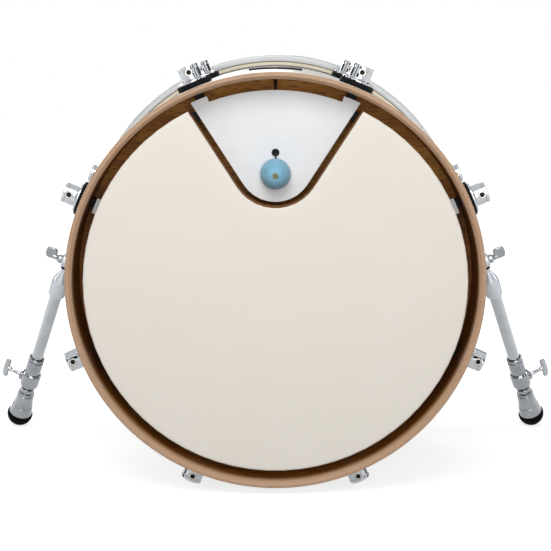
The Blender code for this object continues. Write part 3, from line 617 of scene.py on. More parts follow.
def hoop_look(radius_out):
    """Lacquered hoop in pale blue-grey, over wood whose grain barely shows."""
    look = Look("lacquered_hoop", roughness=0.25, coat=0.5)
    _, turn, depth = look.radius_and_turn()
    sweep = look.vector(look.times(turn, radius_out * 12.0), look.times(depth, 260.0), 0.0)
    grain = look.noise(sweep, 1.0, 5.0, 0.6, 0.4)
    look.color(look.ramp(grain, [(0.25, (188, 192, 193)), (0.75, (202, 204, 205))]))
    look.rough(grain, 0.18, 0.34)
    look.bump(grain, 0.00008, 0.15)
    return look.material


def ring_look():
    """The head's own hoop: beige pressed aluminium, drawn along its length."""
    look = Look("flesh_ring", roughness=0.45, metallic=0.2)
    _, turn, depth = look.radius_and_turn()
    drawn = look.noise(look.vector(look.times(turn, 6.0), look.times(depth, 1200.0), 0.0), 1.0, 3.0)
    look.color(look.ramp(drawn, [(0.3, (204, 194, 172)), (0.7, (218, 208, 188))]))
    look.rough(drawn, 0.35, 0.55)
    look.bump(drawn, 0.00005, 0.3)
    return look.material


def film_look():
    """Coated drumhead film: sprayed white, slightly translucent, with a sandy tooth."""
    look = Look("coated_film", roughness=0.55, specular=0.4)
    point = look.point()
    tooth = look.noise(point, 1100.0, 3.0, 0.6)
    cloud = look.noise(point, 260.0, 4.0)
    look.inputs["Subsurface Weight"].default_value = 0.15
    look.inputs["Subsurface Radius"].default_value = (0.004, 0.004, 0.004)
    look.color(look.ramp(cloud, [(0.3, (230, 230, 227)), (0.7, (236, 236, 234))]))
    look.rough(tooth, 0.45, 0.7)
    look.bump(tooth, 0.0001, 0.4)
    return look.material


SHELL_IN, SHELL_OUT, LIP, FAR_LIP = span("shell", AXIS)
WRAP_EDGE = span("wrap", AXIS)[2]
# The radius that the gaskets sit at, just clear of the covering.
SEAT = SHELL_OUT + 0.0012
CHROME = metal_look("chrome", (188, 191, 195), (170, 173, 177), 0.03, 0.08)
CASTING = metal_look("satin_casting", (182, 186, 191), (174, 179, 185), 0.34, 0.44)
DARK_CHROME = metal_look("dark_chrome", (152, 155, 159), (136, 139, 144), 0.04, 0.10)
SATIN = metal_look("satin_chrome", (170, 174, 177), (160, 164, 168), 0.07, 0.14, 0.05)
STEEL = metal_look("rolled_steel", (160, 162, 165), (136, 139, 143), 0.22, 0.38, 0.2)
NICKEL = metal_look("nickel", (190, 188, 182), (164, 161, 154), 0.10, 0.2)
BRASS = metal_look("brass", (214, 180, 104), (184, 146, 78), 0.25, 0.4)
BLACK = moulded_look("black_plastic", (6, 6, 8), (16, 16, 18), 0.55, specular=0.2)
RUBBER = moulded_look("black_rubber", (2, 2, 3), (8, 8, 10), 0.7, 700.0, 0.0001, 0.05)
GASKET = moulded_look("gasket_rubber", (5, 5, 6), (14, 14, 15), 0.6, 800.0, 0.0001, 0.10)
CABLE = moulded_look("cable_jacket", (16, 16, 17), (34, 34, 36), 0.42, 500.0, 0.00005)
PLY = ply_look(SHELL_IN, SHELL_OUT)
BOARD = board_look("stained_board", (150, 86, 22), (200, 132, 48), (228, 170, 80))
# Painted shade for the foam disc's sides, in a darker copy of the board's brown.
FOAM_SIDE_SHADE = board_look("foam_side_shade", (144, 94, 32), (186, 129, 46), (210, 156, 66))
WRAP = wrap_look()
FOAM = foam_look()
PLATE = plate_look()
SPONGE = sponge_look()
FELT = felt_look()
HOOP = hoop_look(SHELL_OUT)
FLESH = ring_look()
FILM = film_look()


# ---------------------------------------------------------------- shell and far side


def add_shell():
    """The ply shell with its bevelled lips, and the covering glued round it."""
    flat = 0.0040
    profile = [
        (SHELL_OUT, FAR_LIP, 0.0012), (SHELL_OUT, LIP, 0.0012), (SHELL_IN + flat, LIP, 0.0007),
        (SHELL_IN, LIP + flat, 0.0010), (SHELL_IN, FAR_LIP - flat, 0.0010),
        (SHELL_IN + flat, FAR_LIP, 0.0007),
    ]
    place("bent_shell", lathe(profile, DRUM_STEPS), AXIS, "drum", PLY, ["shell"], "ply")
    inner, outer, low, high = span("wrap", AXIS)
    sheet = [(outer, high), (outer, low), (inner, low), (inner, high)]
    place("shell_covering", lathe(sheet, DRUM_STEPS, radius=0.0002), AXIS, "drum", WRAP, ["wrap"], "wrap")


def claw(hoop_out, far):
    """A die-cast claw: a plate on the hoop's far edge, a boss round the rod, and a web between them."""
    width, wall = 0.020, 0.0032
    right = [(0.6, 1.0), (1.0, 0.62), (1.0, -0.55), (0.55, -1.0)]
    both = [(-x, y) for x, y in right] + right[::-1]
    outline = [(x * width / 2.0, y * 0.0107 + hoop_out + 0.0003) for x, y in both]
    hook = slab(outline, far, far + wall, 0.0009)
    sleeve = [(0.0031, -0.0155), (0.0068, -0.0155, 0.001), (0.0072, wall, 0.001), (0.0031, wall)]
    boss = moved(lathe(sleeve, SMALL_STEPS), Matrix.Translation((0.0, ROD_CIRCLE, far)))
    foot = hoop_out - 0.0002
    web = [(-0.0068, foot), (0.0068, foot), (0.0056, ROD_CIRCLE), (-0.0056, ROD_CIRCLE)]
    return joined(hook, boss, slab(web, far - 0.0150, far + 0.0010, 0.0009))


def add_far_side():
    """The hoop with its claws, the head's ring and film, and the eight tension rods."""
    # Radii from the drum's axis, and depths from its open lip.
    inner, _, near, _ = span("resonant_hoop", AXIS)
    outer, groove = 0.2975, 0.2875
    lip_near, far = 0.4115, 0.4260
    profile = [
        (outer, far, 0.0035), (outer, near, 0.0035), (groove, near, 0.0015),
        (groove, lip_near, 0.0005), (inner, lip_near, 0.0012), (inner, far, 0.0020),
    ]
    place("far_hoop", lathe(profile, DRUM_STEPS), AXIS, "drum", HOOP, ["resonant_hoop"], "hoop")
    mesh = mesh_of("claw", claw(outer, far))
    for index, angle in enumerate(STATIONS):
        turned = AXIS @ Matrix.Rotation(-angle - math.pi / 2.0, 4, "Z")
        place(f"claw_{index + 1}", mesh, turned, "drum", CHROME, ["resonant_hoop"], "chrome")
    low_r, high_r, low, high = span("flesh_hoop", AXIS)
    ring = [(high_r, high, 0.002), (high_r, low, 0.001), (low_r, low, 0.001), (low_r, high, 0.002)]
    place("head_ring", lathe(ring, DRUM_STEPS), AXIS, "drum", FLESH, ["flesh_hoop"], "flesh")
    _, reach, skirt, top = span("resonant_head", AXIS)
    film = 0.0005
    sheet = [
        (0.0, top), (reach - 0.0040, top, 0.0004), (reach - 0.0008, top - 0.0014, 0.002),
        (reach, skirt, 0.0001), (reach - film, skirt, 0.0001),
        (reach - 0.0008 - film, top - 0.0016, 0.002), (reach - 0.0044, top - film, 0.0004),
        (0.0, top - film),
    ]
    place("far_head", lathe(sheet, DRUM_STEPS, False), AXIS, "drum", FILM, ["resonant_head"], "film")
    seat = far + 0.0035
    rod_profile = [
        (0.0, seat + 0.0028), (0.0036, seat + 0.0028, 0.0006), (0.0060, seat + 0.0018, 0.0006),
        (0.0060, seat, 0.0003), (0.0026, seat, 0.0003), (0.0026, seat - 0.055, 0.0002),
    ]
    thread_end = span("tension_rod_1", AXIS)[2]
    pitch = 0.0011
    height = seat - 0.056
    while height > thread_end + pitch:
        rod_profile += [(0.0023, height, 0.0), (0.0027, height - pitch / 2.0, 0.0)]
        height -= pitch
    rod_profile += [(0.0022, thread_end, 0.0002), (0.0, thread_end)]
    half = 0.0031
    square = [(-half, -half), (half, -half), (half, half), (-half, half)]
    key = slab(square, seat + 0.002, seat + 0.0115, 0.0006)
    mesh = mesh_of("tension_rod", joined(lathe(rod_profile, 20, False, 0.0002), key))
    for index, angle in enumerate(STATIONS):
        name = f"tension_rod_{index + 1}"
        centre = DRUM @ Vector((ROD_CIRCLE * math.cos(angle), 0.0, ROD_CIRCLE * math.sin(angle)))
        on_axis = Matrix.Translation(centre) @ AXIS.to_3x3().to_4x4()
        place(f"key_rod_{index + 1}", mesh, on_axis, f"tuning_rod_{index + 1}", CHROME, [name], "chrome")


def saddle(bm, height, below):
    """Lays the lowest vertices of a fitting onto the shell, whose radius is this height."""
    for vertex in bm.verts:
        if vertex.co.z < below:
            vertex.co.z += math.sqrt(height * height - vertex.co.x * vertex.co.x) - height
    return bm


def lug(seat, top, blind):
    """A turret lug: rubber gasket, stepped flange, turret, and a swivel nut for the rod across it."""
    flange = seat + 0.0068
    wide, groove = 0.0145, 0.0139
    body = [
        (0.0, top - 0.0010), (0.0088, top - 0.0010, 0.0004), (0.0096, top, 0.0004),
        (wide, top, 0.0013), (wide, top - 0.0042, 0.0003), (groove, top - 0.0046, 0.0003),
        (groove, top - 0.0058, 0.0003), (wide, top - 0.0062, 0.0003),
        (wide, flange + 0.0040, 0.0010), (0.0168, flange + 0.0030, 0.0010),
        (0.0215, flange + 0.0024, 0.0008), (0.0215, flange + 0.0001, 0.0004),
        (0.0, flange + 0.0001),
    ]
    across = Matrix.Translation((0.0, 0.0, ROD_CIRCLE)) @ LATHE_TO_DEPTH
    bore = moved(puck(0.0054, -0.03, 0.03, steps=SMALL_STEPS), across)
    turret = cut(lathe(body, closed=False), bore)
    thread, barrel, reach = 0.0033, 0.0051, 0.0142
    nut = [
        (thread, reach, 0.0003), (barrel, reach, 0.0005), (barrel, -reach, 0.0005),
        (thread, -reach, 0.0003),
    ]
    swivel = moved(lathe(nut, SMALL_STEPS, slot=2), across)
    under = saddle(puck(0.0237, seat, flange, 0.0012, slot=1), seat, seat + 0.0015)
    parts = [turret, under, swivel]
    if blind:
        # Where no rod is in, the nut's thread is too deep and dark to see into, so a black plug there is
        # painted shade.
        parts.append(moved(puck(0.0034, -0.0120, 0.0120, steps=SMALL_STEPS, slot=3), across))
    return joined(*parts)


def add_lugs():
    """Eight lugs near the open lip, with nothing in their nuts, and eight near the far head."""
    top = span("batter_lug_1", radial(STATIONS[0], 0.0))[3]
    # The fourth look, black, is the painted shade inside the empty nuts.
    looks = [CHROME, GASKET, NICKEL, BLACK]
    for side in ("batter", "resonant"):
        mesh = mesh_of(f"{side}_turret", lug(SEAT, top, side == "batter"), 30.0)
        _, _, near, far = span(f"{side}_lug_1", AXIS)
        for index, angle in enumerate(STATIONS):
            node = f"{side}_lug_{index + 1}"
            where = radial(angle, (near + far) / 2.0)
            place(f"{side}_turret_{index + 1}", mesh, where, "drum", looks, [node], "chrome")


# ---------------------------------------------------------------- inside the open end


def node_outline(node, matrix):
    """The outline of a flat CAD node's front face, in the XY of a frame, in order, and its height."""
    points = node_points(node, matrix)
    face = max(point.z for point in points)
    keys = [(round(point.x, 5), round(point.y, 5)) for point in points]
    uses = {}
    for polygon in NODES[node].data.polygons:
        if min(points[vertex].z for vertex in polygon.vertices) > face - 1e-5:
            corners = [keys[vertex] for vertex in polygon.vertices]
            for pair in zip(corners, corners[1:] + corners[:1]):
                pair = tuple(sorted(pair))
                uses[pair] = uses.get(pair, 0) + 1
    nearby = {}
    for (a, b), count in uses.items():
        if count == 1:
            nearby.setdefault(a, []).append(b)
            nearby.setdefault(b, []).append(a)
    loop = [max(nearby, key=lambda key: math.hypot(*key))]
    loop.append(nearby[loop[0]][0])
    while len(loop) < len(nearby):
        loop.append(next(key for key in nearby[loop[-1]] if key != loop[-2]))
    return [Vector(key) for key in loop], face


def finer(outline, longest):
    """The outline with extra points on its long stretches."""
    made = []
    for a, b in zip(outline, outline[1:] + outline[:1]):
        count = max(1, int((b - a).length / longest))
        made += [a.lerp(b, step / count) for step in range(count)]
    return made


def add_foam():
    """The foam disc, soft-edged and a little crowned, in the space of its CAD solid."""
    outline, front = node_outline("damping_foam", FACE)
    _, _, back, _ = span("damping_foam", FACE)
    crown, edge, spacing = 0.0012, 0.0030, 0.012
    bm = slab(finer(outline, spacing), back, front - crown, edge, crown)
    # The disc's sides are painted shade: the brown of the board behind it, a little darker.
    for face in bm.faces:
        if abs(face.normal.z) < 0.3:
            face.material_index = 1
    foam = place("foam_disc", bm, FACE, "drum", [FOAM, FOAM_SIDE_SHADE], ["damping_foam"], "foam")


def add_trigger():
    """The sponge cone with its felt tip on its cup, the grommet, and the pickup's short lead."""
    _, _, low, high = span("trigger_cone", AXIS)
    points = node_points("cone_tip", FACE)
    height = sum(point.y for point in points) / len(points)
    radius = (max(point.x for point in points) - min(point.x for point in points)) / 2.0
    at_cone = inward(height)
    wide = span("trigger_cone", at_cone)[1]
    dome = [(0.0, high), (wide - 0.0004, high, 0.0004)]
    rings = 16
    rim = high - 0.0016
    for index in range(rings):
        turn = math.pi / 2.0 * index / rings
        across = radius + (wide - radius) * math.cos(turn) ** 1.15
        dome.append((across, rim - (rim - low) * math.sin(turn) ** 1.05, 0.0))
    dome += [(radius, low, 0.0), (0.0, low)]
    cone = lathe(dome, closed=False)
    place("sponge_cone", cone, at_cone, "drum", SPONGE, ["trigger_cone"], "blue_foam")
    _, _, tip_low, tip_high = span("cone_tip", AXIS)
    tip = [(0.0, tip_high), (radius, tip_high, 0.0003), (radius * 0.9, tip_low, 0.0008), (0.0, tip_low)]
    place("felt_tip", lathe(tip, SMALL_STEPS, False), at_cone, "drum", FELT, ["cone_tip"], "felt")
    _, cup_r, cup_low, cup_high = span("trigger_cup", at_cone)
    cup = puck(cup_r, cup_low, cup_high)
    place("sponge_base", cup, at_cone, "drum", SPONGE, ["trigger_cup"], "blue_foam")
    _, disc_r, disc_low, disc_high = span("piezo_disc", at_cone)
    disc = puck(disc_r, disc_low, disc_high, 0.0002, 0.0002, SMALL_STEPS)
    place("pickup_disc", disc, at_cone, "drum", BRASS, ["piezo_disc"], "brass")
    hole = node_points("cable_grommet", FACE)
    hole_height = sum(point.y for point in hole) / len(hole)
    at_hole = inward(hole_height)
    bore, flange, near, far = span("cable_grommet", at_hole)
    face = near + 0.0012
    bush = [
        (flange, face, 0.0004), (flange, near, 0.0008), (bore, near, 0.0006), (bore, far, 0.0003),
        (flange - 0.0015, far, 0.0003), (flange - 0.0015, face, 0.0002),
    ]
    grommet = lathe(bush, SMALL_STEPS)
    place("wire_grommet", grommet, at_hole, "drum", BLACK, ["cable_grommet"], "black_plastic")
    lead = [
        Vector((0.0, far, hole_height)),
        Vector((0.0, near + 0.0004, hole_height)),
        Vector((0.0002, near - 0.0016, hole_height - 0.0012)),
        Vector((0.0003, near - 0.0014, hole_height - 0.0044)),
        Vector((0.0001, near - 0.0008, height + cup_r + 0.0008)),
        Vector((0.0, near - 0.0010, height + cup_r - 0.0020)),
    ]
    place("pickup_lead", tube(smooth(lead, 20), 0.0011), DRUM, "drum", CABLE, [], "cable")


def smooth(points, count):
    """Points at even steps of a Catmull-Rom curve through the given ones."""
    padded = [points[0] * 2.0 - points[1], *points, points[-1] * 2.0 - points[-2]]
    spans = len(points) - 1
    route = []
    for index in range(count):
        place_on = spans * index / (count - 1)
        at = min(int(place_on), spans - 1)
        t = place_on - at
        a, b, c, d = padded[at : at + 4]
        bend = 2.0 * a - 5.0 * b + 4.0 * c - d
        twist = 3.0 * b - a - 3.0 * c + d
        route.append(0.5 * (2.0 * b + (c - a) * t + bend * t * t + twist * t * t * t))
    return route


def tube(route, radius):
    """A round mesh tube along a route."""
    bm = bmesh.new()
    steps = 12
    side = Vector((1.0, 0.0, 0.0))
    rings = []
    for index, point in enumerate(route):
        way = route[min(index + 1, len(route) - 1)] - route[max(index - 1, 0)]
        up = way.cross(side).normalized()
        side = up.cross(way).normalized()
        turns = [2.0 * math.pi * step / steps for step in range(steps)]
        rings.append([bm.verts.new(point + (side * math.cos(t) + up * math.sin(t)) * radius) for t in turns])
    return skin(bm, rings)


def add_jack():
    """The socket's bushing and body."""
    points = node_points("output_jack", DRUM)
    row = (max(point.y for point in points) + min(point.y for point in points)) / 2.0
    on_top = radial(math.pi / 2.0, row)
    _, wide, low, high = span("output_jack", on_top)
    shoulder = SHELL_IN - 0.0009
    bore, neck, bottom = 0.0040, 0.0062, high - 0.0260
    body = [
        (bore, high, 0.0003), (neck, high, 0.0005), (neck, shoulder, 0.0002),
        (wide, shoulder, 0.0008), (wide, low, 0.0010), (0.0, low), (0.0, bottom),
        (bore, bottom, 0.0003),
    ]
    place("socket", lathe(body, SMALL_STEPS), on_top, "drum", NICKEL, ["output_jack"], "nickel")


def dress_nodes():
    """The CAD nodes whose shape is right. All but the board and the cable get rounded edges."""
    dress("baffle_board", BOARD)
    dress("mounting_ring", BLACK, 0.0006)
    dress("foam_plate", PLATE, 0.0004)
    dress("trigger_plate", PLATE, 0.0005)
    dress("jack_plate", BLACK, 0.0005)
    dress("trigger_cable", CABLE)


# ---------------------------------------------------------------- spurs


# The radii of the holes for the leg's tube and its inner rod.
TUBE_HOLE = 0.0098
ROD_HOLE = 0.0063


def spur_piece(side, name, mesh, matrix, body, looks, node, slot):
    """Places a piece whose name, body and node all begin with its spur's side."""
    place(f"{side}_{name}", mesh, matrix, f"{side}_{body}", looks, [f"{side}_{node}"], slot)


def add_spur(side):
    """One spur: the frames of its leg, pivot and T-bolt come from its joints."""
    turn = Vector(JOINTS[f"{side}_wing_turn"]["axis"])
    leg = Vector(JOINTS[f"{side}_leg_extend"]["axis"])
    pivot = Vector(JOINTS[f"{side}_spur_fold"]["pos_m"])
    tee = JOINTS[f"{side}_tee_turn"]
    up_leg = axes(pivot, turn, -leg)
    on_pivot = axes(pivot, leg, turn)
    on_tee = axes(tee["pos_m"], (-leg).cross(Vector(tee["axis"])), tee["axis"])
    add_bracket(side, on_pivot)
    add_head(side, up_leg)
    add_leg(side, up_leg, on_tee)
    add_foot(side, up_leg)
    add_wing(side, on_pivot)
    add_tee(side, on_tee)


def add_bracket(side, on_pivot):
    """The domed flange on its gasket against the shell, and the boss out to the swivel."""
    # The base sits where the pivot's axis meets the shell, and faces straight out of it.
    local = DRUM.inverted() @ on_pivot
    place_at = local.translation
    way = local.to_3x3().col[2]
    half = place_at.x * way.x + place_at.z * way.z
    flat = place_at.x ** 2 + place_at.z ** 2
    step = half - math.sqrt(half * half - flat + SHELL_OUT ** 2)
    meet = place_at - way * step
    base = radial(math.atan2(meet.z, meet.x), place_at.y)
    rim = SEAT + 0.003
    flange = [
        (0.0, rim + 0.0060), (0.0120, rim + 0.0060, 0.001), (0.0160, rim + 0.0054, 0.002),
        (0.0235, rim + 0.0042, 0.002), (0.0260, rim + 0.0016, 0.001), (0.0260, rim, 0.0004),
        (0.0, rim),
    ]
    under = saddle(puck(0.0280, SEAT, rim, 0.0008, 0.0005, slot=1), SEAT, SEAT + 0.001)
    cover = saddle(lathe(flange, closed=False), SEAT, SEAT + 0.02)
    dressed = moved(joined(cover, under), on_pivot.inverted() @ base)
    arm = [
        (0.0, -0.0390), (0.0110, -0.0380, 0.001), (0.0095, -0.0320, 0.002),
        (0.0095, -0.0073, 0.0008), (0.0036, -0.0073), (0.0036, -0.0210), (0.0, -0.0210),
    ]
    body = joined(dressed, lathe(arm, closed=False))
    node = f"{side}_spur_bracket"
    place(f"{side}_bracket", body, on_pivot, "drum", [CHROME, GASKET], [node], "chrome")


def add_head(side, up_leg):
    """The swivel ring, its neck with a rubber washer, and the shoulder that grips the tube."""
    ring = [
        (0.0036, 0.0070), (0.0098, 0.0070, 0.001), (0.0110, 0.0050, 0.001),
        (0.0110, -0.0050, 0.001), (0.0098, -0.0070, 0.001), (0.0036, -0.0070),
    ]
    swivel = moved(lathe(ring), Matrix.Rotation(math.pi / 2.0, 4, "Y"))
    shoulder = [
        (0.0, -0.0080), (0.0045, -0.0080, 0.0), (0.0045, -0.0195, 0.001),
        (0.0062, -0.0225, 0.002), (0.0122, -0.0355, 0.003), (0.0130, -0.0400, 0.002),
        (0.0130, -0.0655, 0.0010), (0.0118, -0.0665, 0.0004), (0.0097, -0.0665, 0.0003),
        (0.0097, -0.0580, 0.0003), (0.0, -0.0580),
    ]
    rubber = [(0.0042, 0.0013), (0.0066, 0.0013, 0.0006), (0.0066, -0.0013, 0.0006), (0.0042, -0.0013)]
    washer = moved(lathe(rubber, SMALL_STEPS, slot=1), Matrix.Translation((0.0, 0.0, -0.0118)))
    body = joined(swivel, lathe(shoulder, closed=False), washer)
    spur_piece(side, "casting", body, up_leg, "spur", [CASTING, RUBBER], "spur_head", "chrome")


def add_leg(side, up_leg, on_tee):
    """The tube, the clamp at its end with its T-bolt boss, and the rod that slides in it."""
    bore, wide, low, high = span(f"{side}_leg_tube", up_leg)
    tube_profile = [(wide, high, 0.0006), (wide, low, 0.0006), (bore, low, 0.0004), (bore, high, 0.0004)]
    spur_piece(side, "tube", lathe(tube_profile), up_leg, "spur", SATIN, "leg_tube", "satin_steel")
    _, _, end, start = span(f"{side}_clamp_collar", up_leg)
    band, waist, tube_end = 0.0125, 0.0108, -0.2123
    clamp = [
        (TUBE_HOLE, start), (0.0114, start, 0.0004), (band, start - 0.0014, 0.0005),
        (band, start - 0.0040, 0.0004), (waist, start - 0.0046, 0.0003),
        (waist, start - 0.0068, 0.0003), (band, start - 0.0074, 0.0004), (band, -0.2240, 0.0004),
        (0.0112, -0.2246, 0.0003), (0.0112, -0.2260, 0.0003), (band, -0.2266, 0.0004),
        (0.0150, -0.2300, 0.0015), (0.0150, -0.2515, 0.0025), (waist, end, 0.0012),
        (ROD_HOLE, end), (ROD_HOLE, tube_end), (TUBE_HOLE, tube_end),
    ]
    centre = up_leg.inverted() @ on_tee
    boss = [
        (0.0, 0.0100), (0.0075, 0.0100), (0.0075, 0.0176, 0.0010), (0.0062, 0.0190, 0.0006),
        (0.0036, 0.0190, 0.0003), (0.0036, 0.0150), (0.0, 0.0150),
    ]
    collar = joined(lathe(clamp), moved(lathe(boss, closed=False), centre))
    spur_piece(side, "clamp", collar, up_leg, "spur", DARK_CHROME, "clamp_collar", "satin_steel")
    _, wide, low, high = span(f"{side}_inner_rod", up_leg)
    rod = puck(wide, low, high, 0.0008, 0.0005, SMALL_STEPS)
    spur_piece(side, "slide_rod", rod, up_leg, "rod", STEEL, "inner_rod", "satin_steel")


def add_foot(side, up_leg):
    """The cone that screws onto the rod under a lock nut, and the domed rubber tip."""
    _, rim, low, high = span(f"{side}_foot_cone", up_leg)
    hole_end = -0.2764
    cone = [
        (ROD_HOLE, high, 0.0003), (0.0092, high, 0.0006), (0.0106, high - 0.0012, 0.0006),
        (0.0112, high - 0.0058, 0.0004), (0.0098, high - 0.0064, 0.0003),
        (0.0098, high - 0.0080, 0.0003), (0.0126, high - 0.0086, 0.0004),
        (0.0130, high - 0.0112, 0.0004), (0.0118, high - 0.0118, 0.0003),
        (0.0118, high - 0.0134, 0.0003), (0.0132, high - 0.0140, 0.0004),
        (0.0138, high - 0.0220, 0.003), (0.0158, high - 0.0350, 0.0004),
        (0.0153, high - 0.0356, 0.0003), (0.0155, high - 0.0368, 0.0003),
        (0.0162, high - 0.0374, 0.0004), (rim, low, 0.0010), (0.0, low), (0.0, hole_end),
        (ROD_HOLE, hole_end),
    ]
    spur_piece(side, "cone", lathe(cone), up_leg, "foot", DARK_CHROME, "foot_cone", "satin_steel")
    points = node_points(f"{side}_rubber_tip", up_leg)
    radii = [math.hypot(point.x, point.y) for point in points]
    wide = max(radii)
    middle = min(point.z for point, radius in zip(points, radii) if radius > wide - 1e-5)
    top = max(point.z for point in points)
    dome = [(0.0, top), (rim, top, 0.0006), (wide, top - 0.0016, 0.0010), (wide, middle, 0.0)]
    rounds = 22
    for index in range(1, rounds):
        bend = math.pi / 2.0 * index / rounds
        dome.append((wide * math.cos(bend), middle - wide * math.sin(bend), 0.0))
    dome.append((0.0, middle - wide))
    cap = lathe(dome, closed=False)
    # The dome is flat where it rests on the floor.
    for vertex in cap.verts:
        below = (up_leg @ vertex.co).z
        if below < 0.0:
            vertex.co = up_leg.inverted() @ ((up_leg @ vertex.co) - Vector((0.0, 0.0, below)))
    spur_piece(side, "tip", cap, up_leg, "foot", RUBBER, "rubber_tip", "rubber")


def add_wing(side, on_pivot):
    """The wing bolt: a waisted hub on its shank, and one flat rounded paddle."""
    _, _, low, _ = span(f"{side}_wing_bolt", on_pivot)
    hub = [
        (0.0, 0.0240), (0.0036, 0.0232, 0.0008), (0.0042, 0.0170, 0.002), (0.0050, 0.0135, 0.001),
        (0.0070, 0.0128, 0.0006), (0.0070, 0.0076, 0.0006), (0.0034, 0.0074, 0.0002),
        (0.0034, low, 0.0006), (0.0, low),
    ]
    # The paddle's outline is a superellipse.
    outline = []
    count, power = 40, 3.2
    for index in range(count):
        turn = 2.0 * math.pi * index / count
        swell = (abs(math.cos(turn)) ** power + abs(math.sin(turn)) ** power) ** (-1.0 / power)
        outline.append((0.0096 * swell * math.cos(turn), 0.0090 * swell * math.sin(turn)))
    paddle = slab(outline, -0.0022, 0.0022, 0.0018)
    # The paddle stands in the plane of the bolt and the leg, and leans up the leg.
    stand = axes((-0.0053, 0.0, 0.0255), (1.0, 0.0, 0.0), (0.0, 1.0, 0.0))
    body = joined(lathe(hub, closed=False), moved(paddle, stand))
    spur_piece(side, "wing", body, on_pivot, "wing", DARK_CHROME, "wing_bolt", "chrome")


def add_tee(side, on_tee):
    """The T-bolt: its shank with a stop ring, and a handle that curves away from the leg."""
    start = span(f"{side}_tee_bolt", on_tee)[2]
    shank = [
        (0.0, 0.0430), (0.0042, 0.0420, 0.001), (0.0040, 0.0370, 0.001), (0.0028, 0.0345, 0.001),
        (0.0028, 0.0262, 0.0003), (0.0034, 0.0258, 0.0003), (0.0034, 0.0240, 0.0003),
        (0.0028, 0.0236, 0.0003), (0.0028, start, 0.0004), (0.0, start),
    ]
    bar = bmesh.new()
    count, around = 25, 24
    rings = []
    for index in range(count):
        share = 2.0 * index / (count - 1) - 1.0
        end = math.sqrt(max(0.0, 1.0 - abs(share) ** 16))
        wide = (0.0030 + 0.0008 * share * share) * end
        deep = (0.0050 - 0.0004 * share * share) * end
        rise = 0.0446 - 0.0014 * share * share
        ring = []
        for step in range(around):
            turn = 2.0 * math.pi * step / around
            ring.append(bar.verts.new((wide * math.cos(turn), 0.0172 * share, rise + deep * math.sin(turn))))
        rings.append(ring)
    skin(bar, rings, False)
    bmesh.ops.remove_doubles(bar, verts=bar.verts, dist=1e-6)
    bmesh.ops.recalc_face_normals(bar, faces=bar.faces)
    body = joined(lathe(shank, SMALL_STEPS, False), bar)
    spur_piece(side, "handle", body, on_tee, "tee", SATIN, "tee_bolt", "chrome")


# ---------------------------------------------------------------- view and light


def add_camera():
    """The camera, in front of the open lip and tipped down at it."""
    aim = DRUM.translation
    back = Vector((0.0, -math.cos(CAMERA_ELEVATION), math.sin(CAMERA_ELEVATION)))
    above = Vector((0.0, math.sin(CAMERA_ELEVATION), math.cos(CAMERA_ELEVATION)))
    data = bpy.data.cameras.new("camera")
    data.lens = CAMERA_LENS
    data.sensor_width = CAMERA_SENSOR
    camera = linked("camera", data)
    camera.location = aim + above * AIM_ABOVE_AXIS + back * CAMERA_DISTANCE
    camera.rotation_euler = (math.pi / 2.0 - CAMERA_ELEVATION, 0.0, 0.0)
    bpy.context.scene.camera = camera


def add_floor():
    """A wide pale floor that goes to white away from the drum, and doesn't light it from below."""
    mesh = bpy.data.meshes.new("floor")
    reach = 40.0
    corners = [(-reach, -reach, 0.0), (reach, -reach, 0.0), (reach, reach, 0.0), (-reach, reach, 0.0)]
    mesh.from_pydata(corners, [], [(0, 1, 2, 3)])
    floor = linked("floor", mesh)
    look = Look("pale_floor", roughness=0.9, specular=0.1)
    patch = look.noise(look.point(), 3.0, 3.0)
    look.color(look.ramp(patch, [(0.3, 0.44), (0.7, 0.46)]))
    look.inputs["Emission Color"].default_value = (1.0, 1.0, 1.0, 1.0)
    spread = look.edge(look.radius_and_turn()[0], 0.35, 1.10)
    look.feed(look.inputs["Emission Strength"], look.between(spread, NEAR_GLOW, FAR_GLOW))
    mesh.materials.append(look.material)
    floor.visible_diffuse = False
    floor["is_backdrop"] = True


def add_box(name, power, where, size):
    """A soft box of this size, turned to face the drum's open lip."""
    data = bpy.data.lights.new(name, "AREA")
    data.shape = "RECTANGLE"
    data.size, data.size_y = size
    data.energy = power
    lamp = linked(name, data)
    lamp.matrix_world = axes(where, (1.0, 0.0, 0.0), Vector(where) - DRUM.translation)


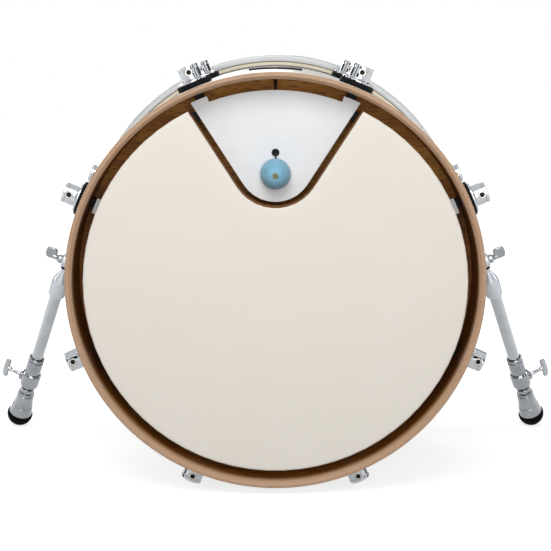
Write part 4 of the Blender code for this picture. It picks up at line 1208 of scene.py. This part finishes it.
def add_light():
    """An even white studio. Glossy surfaces also see the dark flags between the soft boxes."""
    world = bpy.data.worlds.new("studio")
    bpy.context.scene.world = world
    world.use_nodes = True
    sky = Nodes(world.node_tree)
    x, y, z = sky.split(sky.node("ShaderNodeTexCoord").outputs["Generated"])
    turn = sky.math("ARCTAN2", x, y)
    share = sky.node("ShaderNodeMapRange", {0: turn, "From Min": -math.pi, "From Max": math.pi}).outputs[0]
    # Lit panels with dark flags between, from the front round the left to the back. The right mirrors it.
    flag = FLAG_LEVEL
    half = [
        (0.000, flag), (0.015, flag), (0.025, 1.70), (0.050, 1.70), (0.060, flag), (0.100, flag),
        (0.110, 1.50), (0.150, 1.50), (0.160, flag), (0.185, flag), (0.195, 1.40), (0.250, 1.40),
        (0.265, flag), (0.330, flag), (0.370, 0.12),
    ]
    bands = half + [(0.500, 0.30)] + [(1.0 - place_on, level) for place_on, level in reversed(half)]
    panels = sky.ramp(share, bands)
    ceiling = sky.mix(sky.ramp(z, [(0.45, 0.0), (0.62, 1.0)]), panels, (*[CEILING_LEVEL] * 3, 1.0))
    path = sky.node("ShaderNodeLightPath")
    lit = sky.mix(path.outputs["Is Glossy Ray"], (*[STUDIO_LEVEL] * 3, 1.0), ceiling)
    background = sky.tree.nodes["Background"].inputs
    background["Strength"].default_value = 1.0
    sky.feed(background["Color"], sky.mix(path.outputs["Is Camera Ray"], lit, (1.0, 1.0, 1.0, 1.0)))

    add_box("overhead_box", KEY_POWER, KEY_PLACE, KEY_SIZE)
    add_box("front_box", FRONT_POWER, FRONT_PLACE, FRONT_SIZE)
    add_box("back_box", BACK_POWER, BACK_PLACE, FRONT_SIZE)
    across, depth, height = SIDE_PLACE
    add_box("left_box", SIDE_POWER, (-across, depth, height), KEY_SIZE)
    add_box("right_box", SIDE_POWER, (across, depth, height), KEY_SIZE)
    bpy.context.scene.view_settings.view_transform = "Standard"


add_camera()
add_floor()
add_light()
add_shell()
add_far_side()
add_lugs()
add_foam()
add_trigger()
add_jack()
dress_nodes()
for side_name in ("left", "right"):
    add_spur(side_name)

SHOWN_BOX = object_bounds()
[[list(corner) for corner in box] for box in (CAD_BOX, SHOWN_BOX)]
